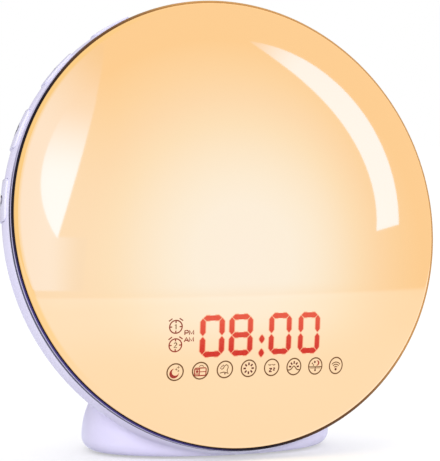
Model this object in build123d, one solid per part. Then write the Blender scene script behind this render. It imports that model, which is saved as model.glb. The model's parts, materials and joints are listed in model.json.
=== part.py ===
from build123d import *
import math
import os

# Sunrise alarm clock: a lit dome on a tilted, bowl-backed housing that stands on a low rounded foot.
# Millimetres.  World frame: +Z up, front towards -Y, +X to the right of someone facing the front.
# The origin lies on the table, in the middle of the clock's footprint box.
# Head frame: origin at the middle of the dome's edge, +Z out of the face, +Y up the face.

# ---------------------------------------------------------------- head
tilt = 11.0                  # lean of the face back from upright, degrees
shell_radius = 87.0          # widest part of the side band
head_gap = 1.4               # middle of the face above the table, beyond the band's radius
rim_step = 1.6               # dome's outline inside the band
dome_rise = 26.0             # crown of the dome in front of its edge
dome_edge = 1.6              # straight part of the dome's edge, which its rounding takes up
dome_wall = 2.0
skirt_inset = 1.0            # step from the dome's outline to its skirt
skirt_depth = 3.2
ring_depth = 2.8             # trim ring, front to back
ring_round = 0.8
ring_tongue = 1.4            # rear tongue of the ring, inside the shell's lip
slip = 0.1                   # clearance of parts that seat in one another
seat_gap = 0.2

shell_wall = 2.2
lip_set_in = 0.5             # the band closes in by this much at its front lip
crest_depth = 9.0            # widest part of the band behind the dome's edge
back_depth = 25.0            # bowl of the back, behind the widest part

# ---------------------------------------------------------------- foot
ground_gap = 0.8             # underside of the foot above the table
foot_half_width = 49.6
foot_front = 31.5            # foot's widest section to its front
foot_back = 42.0             # foot's widest section to its back
foot_setback = 22.0          # foot's widest section behind the middle of the face
foot_corner = 5.0            # rounding of the lower edge
foot_top_drop = 44.6         # top of the mound below the middle of the face
foot_floor = 3.6
foot_blend = 5.0             # fillet between the foot and the bowl

# ---------------------------------------------------------------- base plate
plate_thickness = 1.6
plate_inset = 4.0            # plate's edge inside the flat of the underside
plate_gap = 0.2
ledge_width = 3.0
front_screw = (14.0, 10.0)   # from the middle plane, and inside the front of the flat underside
side_screw = (14.0, 12.0)    # inside the side of the flat underside, and behind the widest section
base_boss_radius = 3.2
base_pad_radius = 5.0
front_rubber = (17.6, 17.0, 42.0)     # inside the side, inside the front, and its turn in degrees
back_rubber = (14.5, 12.7, -23.0)     # from the middle plane, inside the back, and its turn
rubber_length = 17.0
rubber_width = 7.0
rubber_sink = 0.7

# ---------------------------------------------------------------- memory battery
cover_ahead = 37.0           # battery cover in front of the connector recess
cover_radius = 11.85
cover_height = 2.9
cover_gap = 0.15
lug_reach = 1.3
lug_angle = 24.0
lug_height = 1.0
cover_turn = 60.0
coin_slot = (16.0, 1.6, 0.9)
cell_radius = 10.0
cell_height = 3.2
cup_height = 6.4
cup_wall = 1.4

# ---------------------------------------------------------------- buttons in the rim
button_length = 16.0
button_width = 10.0
button_depth = 10.0          # middle of the buttons behind the dome's edge
button_corner = 2.2
button_raise = 0.6
button_gap = 0.25
button_travel = 0.6
button_pitch = 18.5          # degrees
first_button = 7.5           # degrees above the horizontal
snooze_length = 29.0
flange_margin = 1.0
flange_thickness = 1.2
stem_side = 3.0
stem_reach = 3.6             # inner end of the stems inside the shell's wall
plunger_size = (2.6, 1.4, 3.0)
switch_length = 4.0

# ---------------------------------------------------------------- reflector and light board
flange_top = 7.2             # reflector's floor behind the dome's edge
reflector_wall = 1.2
reflector_floor = 1.6
reflector_gap = 0.9          # reflector's flange inside the dome's skirt
cone_gap = 0.2               # reflector's front edge inside the dome's skirt
cone_spread = 12.5
cone_front = 0.6             # front edge of the cone behind the dome's edge
board_gap = 2.0              # light board inside the foot of the cone
board_seat = 6.5             # width of the flange under the light board
board_thickness = 1.6
led_side = 5.0
led_height = 1.6
led_counts = [6, 12, 20]
led_margin = 8.5             # outer ring of chips inside the light board's edge
post_angles = [75.0, 105.0, 225.0, 315.0]
boss_radius = 3.4
post_radius = 4.6
main_post_radius = 2.6
key_post_radius = 2.4
key_post_insets = (9.2, 11.2)         # key board posts inside the stems' ends, at the sides and on top
key_board_widths = (14.2, 15.2)

# ---------------------------------------------------------------- display
display_shift = 0.8
display_edge = 19.9          # lower edge of the display inside the dome's skirt
display_tall = 27.5
digit_rise = 17.9            # middle of the digits above the display's lower edge
digit_height = 14.9
digit_width = 9.5
digit_stroke = 1.9
digit_places = [-18.6, -6.9, 8.9, 20.7]
colon_place = 1.6
colon_half = 2.3
icon_rise = 5.7
icon_pitch = 9.36
icon_radius = 3.3
icon_count = 8
alarm_icon_place = -33.6
alarm_icon_rises = (3.2, -3.8)        # from the middle of the digits
alarm_icon_radius = 2.9
period_place = -27.6
period_rises = (0.7, -2.1)
display_side = 2.94          # display's wall beside the outer icons
display_board_side = 7.5     # display board beyond the display
display_board_margin = 1.0
lens_gap = 0.4               # display housing behind the inside of the dome
guide_gap = 0.05

# ---------------------------------------------------------------- main board and speaker
main_half_width = 42.0
main_overlap = 21.5          # main board's lower edge above the display's
main_tall = 33.0
main_depth = 15.0            # front of the main board behind the dome's edge
socket_spots = [(0.0, 29.0, 7.5), (14.0, 29.0, 7.5), (28.0, 21.0, 10.0), (-28.0, 21.0, 10.0), (4.0, 3.5, 8.0)]
light_socket_rise = 27.0     # socket on the main board that feeds the light board
light_socket_row = 4.0       # its twin on the light board
wire_radius = 0.55
speaker_high = 22.0          # speaker's axis above the middle of the face
speaker_radius = 25.0
speaker_edge = 2.6           # speaker's screws inside its rim
speaker_lift = 0.8           # speaker's seat in front of the bowl's inside
basket_wall = 1.2
surround_width = 3.1
magnet_radius = 11.0
magnet_height = 4.5
basket_depth = 11.5
grille_hole = 1.1
grille_pitch = 4.2
grille_rings = 3

# ---------------------------------------------------------------- connectors at the back of the foot
bay_depth = 6.0              # floor of the recess in front of the foot's rear end
bay_half_width = 18.0
bay_low = 6.6
bay_high = 20.6
port_board_under = 7.0       # underside of the connector board above the table
port_board_length = 18.0
port_post_place = (13.0, 12.5)        # from the middle plane, and in front of the recess
jack_place = -9.0
jack_side = 9.0
jack_length = 14.0
jack_height = 10.4
jack_bore = 2.85
jack_pin = 1.0
usb_place = 6.5
usb_width = 13.1
usb_height = 5.7
usb_length = 14.0
usb_skin = 0.35

screw_radius = 1.2           # shank of every small screw
pilot_radius = 1.25          # hole that a screw is driven into
clear_radius = 1.45          # hole that a screw passes through
wafer_height = 0.7           # low head of the screws under the foot
screw_head = 2.3
screw_head_height = 1.5

# ---------------------------------------------------------------- worked-out places
lean = math.radians(tilt)
disc_height = shell_radius + head_gap
dome_radius = shell_radius - rim_step
cap_rise = dome_rise - dome_edge
ball = (dome_radius**2 + cap_rise**2) / (2 * cap_rise)
ball_middle = dome_rise - ball
edge_turn = math.pi / 2 - math.asin(dome_radius / ball)
dome_edge_round = 0.97 * dome_edge / math.tan(edge_turn / 2)
foot_rise = disc_height - foot_top_drop - ground_gap - foot_corner
flat_half_width = foot_half_width - foot_corner
flat_front = flat_half_width * foot_front / foot_half_width
flat_back = flat_half_width * foot_back / foot_half_width
bay_floor = foot_back - bay_depth
cover_back = bay_floor - cover_ahead
base_screw_places = [(front_screw[0], front_screw[1] - flat_front), (flat_half_width - side_screw[0], side_screw[1])]
rubber_places = [
    (flat_half_width - front_rubber[0], front_rubber[1] - flat_front, front_rubber[2]),
    (back_rubber[0], flat_back - back_rubber[1], back_rubber[2]),
]
front_reach = ball - (ball - dome_rise) * math.cos(lean)
disc_y = (front_reach - foot_setback - foot_back) / 2
foot_y = disc_y + foot_setback
lip_radius = shell_radius - lip_set_in
inner_radius = shell_radius - shell_wall
skirt_radius = dome_radius - skirt_inset
skirt_inner = skirt_radius - dome_wall
post_circle = skirt_inner - boss_radius
reflector_outer = skirt_inner - reflector_gap
cone_top = skirt_inner - cone_gap - reflector_wall
cone_foot = cone_top - cone_spread
light_board_radius = cone_foot - board_gap
reflector_inner = light_board_radius - board_seat
led_pitch = (light_board_radius - led_margin) / len(led_counts)
display_low = display_edge - skirt_inner
display_high = display_low + display_tall
display_half_width = (icon_count - 1) / 2 * icon_pitch + icon_radius + display_side
display_board_half = display_half_width + display_board_side
digit_row = display_low + digit_rise
icon_row = display_low + icon_rise
alarm_icon_rows = [digit_row + rise for rise in alarm_icon_rises]
period_rows = [digit_row + rise for rise in period_rises]
main_low = display_low + main_overlap
main_high = main_low + main_tall
back_sockets = [(x, main_low + rise, width) for x, rise, width in socket_spots]
light_feed = [(0.0, main_low + light_socket_rise), (0.0, light_socket_row)]
speaker_reach = speaker_high + speaker_radius + 1
bowl_there = math.sqrt(1 - (speaker_reach / inner_radius) ** 2)
speaker_seat = crest_depth + (back_depth - shell_wall) * bowl_there - speaker_lift
cone_radius = speaker_radius - speaker_edge - screw_head - seat_gap - basket_wall - surround_width
ring_inner = skirt_radius + seat_gap
tongue_radius = dome_radius - slip
button_angles = [first_button + button_pitch * step for step in range(4)]
board_back = flange_top + reflector_floor
switch_height = 3.0
key_top = board_back + 0.3 + switch_height
stem_z = -(key_top - switch_height / 2)
stem_end = inner_radius - stem_reach
plunger_end = stem_end
face_plane = Plane(origin=(0, disc_y, disc_height), x_dir=(1, 0, 0), z_dir=(0, -math.cos(lean), math.sin(lean)))
HEAD = face_plane.location

nodes = {}


def keep(name, *shapes):
    """Store a node: every separate solid of the shapes given."""
    nodes[name] = [solid for shape in shapes for solid in shape.solids()]


def turned(edges):
    """Solid of revolution about Z from a closed outline drawn as radius and height."""
    return revolve(Plane.XZ * make_face(edges), Axis.Z)


def lines(points):
    """Closed outline of straight lines through the points."""
    return [Line(a, b) for a, b in zip(points, points[1:] + points[:1])]


def rod(radius, low, high, place=(0, 0)):
    """Upright cylinder from one height to another."""
    return Pos(place[0], place[1], low) * extrude(Circle(radius), high - low)


def block(x, y, z):
    """Box from pairs of lowest and highest coordinates."""
    middle = [(pair[0] + pair[1]) / 2 for pair in (x, y, z)]
    return Pos(*middle) * Box(x[1] - x[0], y[1] - y[0], z[1] - z[0])


def around(angle, radius):
    """Point on a circle of the face."""
    turn = math.radians(angle)
    return (radius * math.cos(turn), radius * math.sin(turn))


def sector(low_angle, high_angle, inner, outer, low, high):
    """Part of a flat ring between two angles."""
    ring = rod(outer, low, high) - rod(inner, low - 1, high + 1)
    far = outer * 2
    corners = [(0, 0)]
    steps = max(2, math.ceil((high_angle - low_angle) / 60) + 1)
    for step in range(steps):
        corners.append(around(low_angle + (high_angle - low_angle) * step / (steps - 1), far))
    wedge = Pos(0, 0, low) * extrude(make_face(lines(corners)), high - low)
    return ring & wedge


def screw(top, length, place=(0, 0), head_height=screw_head_height):
    """Pan-head screw with a cross recess; its head stands on the height given, its shank points down."""
    head = rod(screw_head, top, top + head_height, place)
    head = fillet(head.edges().sort_by(Axis.Z)[-1], head_height * 0.6)
    shank = rod(screw_radius, top - length, top, place)
    middle = Pos(place[0], place[1], top + head_height)
    cross = middle * Box(2.4, 0.5, head_height) + middle * Box(0.5, 2.4, head_height)
    return head + shank - cross


def flipped(shape, height):
    """The shape turned over about a height, so that a screw points the other way."""
    return Pos(0, 0, height) * (Rot(180, 0, 0) * (Pos(0, 0, -height) * shape))


# ---------------------------------------------------------------- housing forms

def bowl(offset, front=-ring_depth):
    """Solid bowl that fills the head, grown or shrunk by the offset, up to a front plane."""
    radius = shell_radius + offset
    lip = min(radius, lip_radius + offset if offset > -shell_wall else radius)
    if lip < radius:
        side = TangentArc((radius, -crest_depth), (lip, front), tangent=(0, 1))
    else:
        side = Line((radius, -crest_depth), (lip, front))
    inside = [(lip, front), (0, front), (0, -crest_depth), (radius, -crest_depth)]
    band = turned([side, *[Line(a, b) for a, b in zip(inside, inside[1:])]])
    quarter = [Line((0, -radius), (0, 0)), Line((0, 0), (radius, 0)), CenterArc((0, 0), radius, 270, 90)]
    ball_part = revolve(Plane.XZ * make_face(quarter), Axis.Z, 180)
    upper = scale(ball_part, by=(1, 1, (back_depth + offset) / radius))
    back = Pos(0, 0, -crest_depth) * (upper + Rot(0, 0, 180) * upper)
    return band + back


def foot(inset, underside):
    """Rounded mound: a turned form whose front and back halves are stretched to different depths."""
    reach = foot_half_width - inset
    corner_top = ground_gap + foot_corner
    corner = corner_top - underside
    top = corner_top + foot_rise - inset
    outline = [
        Line((0, underside), (reach - corner, underside)),
        JernArc((reach - corner, underside), (1, 0), corner, 90),
        EllipticalCenterArc((0, corner_top), reach, foot_rise - inset, 0, arc_size=90),
        Line((0, top), (0, underside)),
    ]
    whole = turned(outline)
    tall = block((-100, 100), (0, 100), (-1, 100))
    back = scale(whole & tall, by=(1, (foot_back - inset) / reach, 1))
    front = scale(whole - tall, by=(1, (foot_front - inset) / reach, 1))
    return Pos(0, foot_y, 0) * (back + front)


def plate_outline(inset):
    """Outline of the flat underside, moved inwards."""
    upper = Rectangle(200, 100, align=(Align.CENTER, Align.MIN))
    x = flat_half_width - inset
    return Ellipse(x, flat_back - inset) & upper, Ellipse(x, flat_front - inset) - upper


def plate_solid(inset, low, high):
    back, front = plate_outline(inset)
    return Pos(0, foot_y, low) * (extrude(back, high - low) + extrude(front, high - low))


def mirrored_places(places):
    """Each place and its twin across the middle plane, in the world frame."""
    return [(side * x, foot_y + y) for x, y in places for side in (1, -1)]


def rubber_bars(low, high, margin=0.0):
    """Bars with round ends at the places of the rubber feet."""
    bars = []
    for x, y, angle in rubber_places:
        shape = SlotOverall(rubber_length + 2 * margin, rubber_width + 2 * margin)
        for side in (1, -1):
            bars.append(Pos(side * x, foot_y + y, low) * (Rot(0, 0, side * angle) * extrude(shape, high - low)))
    return bars


def button_frame(angle):
    """Frame of a rim button: +Z outwards along the radius, +Y towards the face."""
    x, y = around(angle, 1.0)
    return Plane(origin=(0, 0, -button_depth), x_dir=(-y, x, 0), z_dir=(x, y, 0)).location


def button_prism(angle, length, margin):
    """Rounded bar along the radius, as wide as a button plus a margin."""
    shape = RectangleRounded(length + 2 * margin, button_width + 2 * margin, button_corner + margin)
    return button_frame(angle) * (Pos(0, 0, stem_end - 10) * extrude(shape, 30))


def button(angle, length):
    """Button: raised cap through the slot, flange behind the wall and a stem to its switch."""
    inner = -shell_wall - button_gap
    body = bowl(button_raise) - bowl(inner - flange_thickness)
    cap = body & button_prism(angle, length, 0)
    rim = (bowl(inner, -3.9) - bowl(inner - flange_thickness, -3.8)) & button_prism(angle, length, flange_margin)
    stem_length = inner_radius - button_gap - flange_thickness / 2 - stem_end
    stem = stem_frame(angle) * (Pos(0, 0, stem_end + stem_length / 2) * Box(stem_side, stem_side, stem_length))
    return cap + rim + stem


def rear_shell():
    """Bowl and foot moulded in one, with its slots, posts, grille, connector bay and base opening."""
    outer = HEAD * bowl(0) + foot(0, ground_gap)
    low = disc_height - shell_radius
    joint = [e for e in outer.edges() if is_blend_edge(e, low)]
    outer = fillet(joint, foot_blend)
    rabbet = rod(tongue_radius + slip, -ring_depth - ring_tongue - seat_gap, 0)
    hollow = HEAD * (bowl(-shell_wall) + rabbet) + foot(shell_wall, ground_gap + foot_floor)
    shell = outer - hollow
    skin = bowl(-shell_wall / 2)
    posts = Part()
    for angle in post_angles:
        posts += rod(post_radius, -60, -board_back, around(angle, post_circle))
    for place in main_post_places():
        posts += rod(main_post_radius, -60, -main_depth - board_thickness, place)
    for place in key_post_places():
        posts += rod(key_post_radius, -60, -key_top - board_thickness, place)
    seat = rod(speaker_radius + 1, -60, -speaker_seat, (0, speaker_high))
    seat -= rod(cone_radius + surround_width, -61, 0, (0, speaker_high))
    shell += HEAD * ((posts + seat) & skin)
    shell += bay_pad()
    shell -= HEAD * head_cuts()
    shell -= bay_cuts()
    return shell - base_cuts() + base_bosses()


def is_blend_edge(edge, low):
    """Whether an edge is part of the curve where the foot meets the bowl."""
    middle = edge @ 0.5
    local = face_plane.to_local_coords(middle)
    across = math.hypot(local.X, local.Y)
    if local.Z > -crest_depth:
        return False
    inside = 1 - (across / shell_radius) ** 2
    on_bowl = abs(-local.Z - crest_depth - back_depth * math.sqrt(max(inside, 0))) < 0.05
    height = middle.Z - ground_gap - foot_corner
    if height < 0 or height > foot_rise:
        return False
    depth = foot_back if middle.Y > foot_y else foot_front
    spread = (middle.X / foot_half_width) ** 2 + ((middle.Y - foot_y) / depth) ** 2
    on_foot = abs(spread + (height / foot_rise) ** 2 - 1) < 0.005
    return on_bowl and on_foot


def head_cuts():
    """Everything cut from the shell in the head frame: slots, screw wells and the speaker grille."""
    cuts = Part()
    for angle in button_angles:
        cuts += button_prism(angle, button_length, button_gap)
        cuts += button_prism(180 - angle, button_length, button_gap)
    cuts += button_prism(90, snooze_length, button_gap)
    for angle in post_angles:
        place = around(angle, post_circle)
        cuts += rod(clear_radius, -40, 0, place)
        cuts += rod(screw_head + 0.5, -60, -board_back - 4.0, place)
    for place in main_post_places():
        cuts += rod(pilot_radius, -main_depth - board_thickness - 5, 0, place)
    for place in key_post_places():
        cuts += rod(pilot_radius, -key_top - board_thickness - 4, 0, place)
    for place in speaker_screw_places():
        cuts += rod(pilot_radius, -speaker_seat - 3.0, -speaker_seat + 1, place)
    cuts += rod(grille_hole, -60, -20, (0, speaker_high))
    for ring in range(1, grille_rings + 1):
        for step in range(6 * ring):
            x, y = around(60 * step / ring, grille_pitch * ring)
            cuts += rod(grille_hole, -60, -20, (x, y + speaker_high))
    return cuts


def main_post_places():
    x = main_half_width - 4
    return [(side * x, y) for y in (main_low + 4, main_high - 4) for side in (1, -1)]


def key_post_places():
    side, upper = key_post_insets
    left = [around(angle, stem_end - side) for angle in (126.2, 163.3)]
    right = [(-x, y) for x, y in left]
    top = [around(angle, stem_end - upper) for angle in (84.0, 96.0)]
    return left + right + top


def speaker_screw_places():
    reach = speaker_radius - speaker_edge
    return [(x, y + speaker_high) for x, y in (around(45 + 90 * step, reach) for step in range(4))]


def bay_pad():
    """Thick wall behind the connector recess, trimmed to the foot."""
    y = foot_y + bay_floor
    x = bay_half_width + shell_wall
    pad = block((-x, x), (y - shell_wall, y + 12), (ground_gap + foot_floor - 1, bay_high + shell_wall))
    return pad & foot(shell_wall / 2, ground_gap + 1)


def bay_cuts():
    """Connector recess and the openings for the jack and the socket."""
    y = foot_y + bay_floor
    recess = block((-bay_half_width, bay_half_width), (y, y + 20), (bay_low, bay_high))
    recess = fillet(recess.edges().filter_by(Axis.Y), 2.0)
    jack = Plane(origin=(jack_place, y - 5, jack_axis()), x_dir=(1, 0, 0), z_dir=(0, 1, 0)).location
    hole = jack * extrude(Circle(jack_side / 2 + seat_gap - 0.4), 10)
    width = usb_width / 2 + seat_gap
    low = port_board_under + board_thickness - seat_gap
    slot = block((usb_place - width, usb_place + width), (y - 5, y + 5), (low, low + usb_height + 2 * seat_gap))
    return recess + hole + slot


def jack_axis():
    return port_board_under + board_thickness + jack_height - jack_side / 2


def base_cuts():
    """Opening under the foot: a rabbet for the base plate and a ledge above it."""
    rabbet = plate_solid(plate_inset - plate_gap, ground_gap - 1, ground_gap + plate_thickness)
    well = plate_solid(plate_inset + ledge_width, ground_gap, ground_gap + foot_floor + 0.5)
    for place in mirrored_places(base_screw_places):
        well -= rod(base_pad_radius, 0, ground_gap + foot_floor + 1, place)
    pilots = Part()
    for place in mirrored_places(base_screw_places):
        pilots += rod(pilot_radius, 0, ground_gap + 8, place)
    return rabbet + well + pilots


def base_bosses():
    low = ground_gap + plate_thickness
    bosses = Part()
    for place in mirrored_places(base_screw_places):
        bosses += rod(base_boss_radius, low, ground_gap + 9, place) - rod(pilot_radius, 0, ground_gap + 8, place)
    return bosses


# ---------------------------------------------------------------- front

def ball_arc(radius, low_end, out):
    """Arc of a ball about the dome's centre, from a radius where it starts up to the axis."""
    start = math.degrees(math.atan2(low_end - ball_middle, out))
    return CenterArc((0, ball_middle), radius, start, 90 - start)


def front_dome():
    """Diffuser: a shallow cap of a ball with a rounded edge, a skirt and four screw bosses."""
    inner = skirt_inner
    hollow = ball - dome_wall
    inner_start = ball_middle + math.sqrt(hollow**2 - inner**2)
    profile = make_face([
        ball_arc(ball, dome_edge, dome_radius),
        Line((dome_radius, dome_edge), (dome_radius, 0)),
        Line((dome_radius, 0), (skirt_radius, 0)),
        Line((skirt_radius, 0), (skirt_radius, -skirt_depth)),
        Line((skirt_radius, -skirt_depth), (inner, -skirt_depth)),
        Line((inner, -skirt_depth), (inner, inner_start)),
        ball_arc(hollow, inner_start, inner),
        Line((0, dome_rise - dome_wall), (0, dome_rise)),
    ])
    corner = profile.vertices().sort_by_distance((dome_radius, dome_edge))[0]
    shell = revolve(Plane.XZ * fillet(corner, dome_edge_round), Axis.Z)
    limit = turned([
        Line((0, -flange_top - 1), (skirt_radius - 1, -flange_top - 1)),
        Line((skirt_radius - 1, -flange_top - 1), (skirt_radius - 1, 2)),
        Line((skirt_radius - 1, 2), (0, 2)),
        Line((0, 2), (0, -flange_top - 1)),
    ])
    for angle in post_angles:
        place = around(angle, post_circle)
        shell += rod(boss_radius, -flange_top, 3.4, place) & limit
        shell -= rod(pilot_radius, -flange_top - 1, -0.4, place)
    return shell


def trim_ring():
    """Dark ring between the dome and the shell, rounded in front, with a tongue behind."""
    corner = lip_radius - ring_round
    outline = [
        Line((ring_inner, 0), (corner, 0)),
        JernArc((corner, 0), (1, 0), ring_round, -90),
        Line((lip_radius, -ring_round), (lip_radius, -ring_depth)),
        Line((lip_radius, -ring_depth), (tongue_radius, -ring_depth)),
        Line((tongue_radius, -ring_depth), (tongue_radius, -ring_depth - ring_tongue)),
        Line((tongue_radius, -ring_depth - ring_tongue), (ring_inner, -ring_depth - ring_tongue)),
        Line((ring_inner, -ring_depth - ring_tongue), (ring_inner, 0)),
    ]
    return turned(outline)


def display_window(margin, low, high):
    """Box through which the display stands, as wide as its housing plus a margin."""
    x = display_half_width + margin
    return Pos(display_shift, 0, 0) * block((-x, x), (display_low - margin, display_high + margin), (low, high))


def display_screw_places():
    x = display_board_half - 3.0
    y = (display_low + display_high) / 2
    return [(display_shift + side * x, y) for side in (1, -1)]


def reflector():
    """White dish: a flat flange on the screw posts and a cone that opens towards the dome."""
    floor = rod(reflector_outer, -board_back, -flange_top) - rod(reflector_inner, -20, 0)
    slope = [
        (cone_foot, -flange_top - reflector_floor / 2),
        (cone_foot + reflector_wall, -flange_top - reflector_floor / 2),
        (cone_top + reflector_wall, -cone_front),
        (cone_top, -cone_front),
    ]
    dish = floor + turned(lines(slope))
    for angle in post_angles:
        place = around(angle, post_circle)
        dish -= rod(boss_radius + slip, -flange_top, 0, place)
        dish -= rod(clear_radius, -20, 0, place)
    dish -= display_window(seat_gap, -20, 20)
    x = display_board_half + seat_gap
    high = display_high + display_board_margin + seat_gap
    dish -= Pos(display_shift, 0, 0) * block((-x, x), (-cone_top * 2, high), (-flange_top, 0))
    for place in display_screw_places() + light_screw_places():
        dish -= rod(pilot_radius, -20, 0, place)
    return dish


def light_screw_places():
    return [around(angle, light_board_radius - 3.5) for angle in (20.0, 90.0, 160.0)]


def light_board():
    """Round board, cut off straight above the display's board."""
    board = rod(light_board_radius, -flange_top, -flange_top + board_thickness)
    x = light_board_radius + 1
    board -= block((-x, x), (-x, display_high + display_board_margin + 0.5), (-20, 20))
    for place in light_screw_places():
        board -= rod(clear_radius, -20, 0, place)
    return board


def leds():
    """Square light-emitting chips in rings, left out where the display stands."""
    low = -flange_top + board_thickness
    chips = []
    for ring, count in enumerate(led_counts, 1):
        for step in range(count):
            x, y = around(360 * (step + 0.5) / count, led_pitch * ring)
            if y < display_high + display_board_margin + led_side:
                continue
            chip = block((-led_side / 2, led_side / 2), (-led_side / 2, led_side / 2), (low, low + led_height))
            lens = rod(led_side * 0.36, low + led_height - 0.3, low + led_height + 1)
            chips.append(Pos(x, y, 0) * (chip - lens))
    return chips


# ---------------------------------------------------------------- display

def segment(length):
    """Plan of one display segment: a bar with pointed ends."""
    half = length / 2
    wide = digit_stroke / 2
    upper = [(-half, 0), (wide - half, wide), (half - wide, wide), (half, 0)]
    lower = [(half - wide, -wide), (wide - half, -wide)]
    return make_face(lines(upper + lower))


def digit_faces(place, margin=0.0):
    """Plans of the seven segments of one digit, with a pointed gap between them."""
    across = digit_width - digit_stroke
    rise = (digit_height - digit_stroke) / 2
    gap = 0.25
    bars = []
    for row in (-1, 0, 1):
        bars.append(Pos(place, digit_row + row * rise) * segment(across - gap))
    for side in (-1, 1):
        for row in (-0.5, 0.5):
            upright = Rot(0, 0, 90) * segment(rise - gap)
            bars.append(Pos(place + side * across / 2, digit_row + row * rise) * upright)
    if margin:
        bars = [offset(bar, margin, kind=Kind.INTERSECTION) for bar in bars]
    return bars


def colon_faces(margin=0.0):
    return [Pos(colon_place, digit_row + side * colon_half) * Circle(digit_stroke / 2 + margin) for side in (-1, 1)]


def icon_places():
    first = -(icon_count - 1) / 2 * icon_pitch
    return [(first + step * icon_pitch, icon_row) for step in range(icon_count)]


def icon_faces(margin=0.0):
    """Plans of the round icon windows, the two alarm windows and the two half-day windows."""
    faces = [Pos(*place) * Circle(icon_radius + margin) for place in icon_places()]
    for row in alarm_icon_rows:
        faces.append(Pos(alarm_icon_place, row) * Circle(alarm_icon_radius + margin))
    for row in period_rows:
        faces.append(Pos(period_place, row) * Rectangle(4.4 + 2 * margin, 2.1 + 2 * margin))
    return faces


def display_front(offset_in):
    """Ball that ends the display just behind the inside of the dome."""
    return Pos(0, 0, ball_middle) * Sphere(ball - dome_wall - offset_in)


def guides(faces, low):
    """Light guides: the plans raised from a height to the inside of the dome."""
    front = display_front(lens_gap)
    shift = Pos(display_shift, 0, low)
    return [(shift * extrude(face, dome_rise - low)) & front for face in faces]


def display_housing():
    """Black block with a pocket for every light guide, its front curved to follow the dome."""
    low = -flange_top + board_thickness
    body = display_window(0, low, dome_rise) & display_front(lens_gap)
    pockets = []
    for place in digit_places:
        pockets += digit_faces(place, guide_gap)
    pockets += colon_faces(guide_gap) + icon_faces(guide_gap)
    for face in pockets:
        body -= Pos(display_shift, 0, low - 1) * extrude(face, dome_rise - low)
    return body


def display_board():
    x = display_board_half
    y = (display_low - display_board_margin, display_high + display_board_margin)
    board = Pos(display_shift, 0, 0) * block((-x, x), y, (-flange_top, -flange_top + board_thickness))
    for place in display_screw_places():
        board -= rod(clear_radius, -20, 0, place)
    return board


# ---------------------------------------------------------------- electronics behind the light board

def main_board():
    z = (-main_depth - board_thickness, -main_depth)
    board = block((-main_half_width, main_half_width), (main_low, main_high), z)
    board = fillet(board.edges().filter_by(Axis.Z), 2.0)
    for place in main_post_places():
        board -= rod(clear_radius, -40, 0, place)
    return board


def chips():
    """Processor, sound amplifier, clock chip and regulator on the main board's front."""
    sizes = [(-6, 17, 9, 9, 1.2), (14, 23, 6, 5, 1.5), (-24, 24, 5, 4, 1.4), (26, 8, 6.5, 6, 1.8)]
    row = []
    for x, rise, wide, tall, high in sizes:
        body = block((-wide / 2, wide / 2), (-tall / 2, tall / 2), (0, high))
        row.append(Pos(x, main_low + rise, -main_depth) * body)
    return row


def radio_module():
    """Wireless module: a small board that carries a metal can."""
    corner = Pos(-36, main_low + 7, -main_depth)
    board = corner * block((0, 16), (0, 11), (0, 0.8))
    can = fillet(block((1.5, 12), (0.8, 10.2), (0.8, 2.8)).edges().filter_by(Axis.Z), 0.6)
    return board, corner * can


def capacitors():
    """Electrolytic capacitors that stand on the back of the main board."""
    top = -main_depth - board_thickness
    places = [(-18, 8, 4.0, 8.5), (-8, 7, 3.2, 7.0), (18, 7, 3.2, 7.0)]
    return [rod(radius, top - tall, top, (x, main_low + rise)) for x, rise, radius, tall in places]


def socket(x, y, width, seat, height):
    """Open-ended wire socket that stands on a board; a negative height stands it on the back."""
    low, high = sorted((seat, seat + height))
    body = block((x - width / 2, x + width / 2), (y - 2.2, y + 2.2), (low, high))
    shift = 1.2 if height > 0 else -1.2
    inside = block((x - width / 2 + 0.8, x + width / 2 - 0.8), (y - 1.4, y + 1.4), (low + shift, high + shift))
    return body - inside


def sockets():
    """White wire sockets on the main board's back, and the pair that feeds the light board."""
    back = -main_depth - board_thickness
    row = [socket(x, y, width, back, -5.5) for x, y, width in back_sockets]
    row.append(socket(*light_feed[0], 7.5, -main_depth, 2.6))
    row.append(socket(*light_feed[1], 7.5, -flange_top, -2.6))
    return row


def ribbon_rows():
    """Where the flat cable leaves its clamp on the display board and enters the one on the main board."""
    return (display_low + display_high) / 2 + 3.75, main_low + 7.0


def ribbon():
    """Flat cable from the display board's back to the main board's front."""
    start = -flange_top - 2.0
    end = -main_depth + 2.6
    low, high = ribbon_rows()
    path = [(low, start), (high - 3.8, start), (high - 3.8, end), (high, end)]
    line = FilletPolyline(*[(0, y, z) for y, z in path], radius=0.45 * abs(start - end))
    strip = sweep(Plane(origin=line @ 0, x_dir=(1, 0, 0), z_dir=line % 0) * Rectangle(10, 0.3), path=line)
    return strip


def ribbon_ends():
    """Clamps that hold the two ends of the flat cable."""
    start = -flange_top - 2.0
    end = -main_depth + 2.6
    low, high = ribbon_rows()
    first = block((-7, 7), (low - 4.0, low), (start - 1.0, -flange_top))
    last = block((-7, 7), (high, high + 3.5), (-main_depth, end + 0.8))
    return [first, last]


# ---------------------------------------------------------------- keys

def key_sectors():
    """Angles and inner radius of the three key boards."""
    side, upper = (stem_end - width for width in key_board_widths)
    return {"left": (110.5, 181.0, side), "right": (-1.0, 69.5, side), "top": (81.5, 98.5, upper)}


def key_board(name):
    low_angle, high_angle, inner = key_sectors()[name]
    board = sector(low_angle, high_angle, inner, plunger_end - 1.2, -key_top - board_thickness, -key_top)
    for place in key_post_places():
        board -= rod(clear_radius, -40, 0, place)
    return board


def stem_frame(angle):
    """Frame on the axis of a button's stem: +Z outwards along the radius."""
    x, y = around(angle, 1.0)
    return Plane(origin=(0, 0, stem_z), x_dir=(-y, x, 0), z_dir=(x, y, 0)).location


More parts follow.
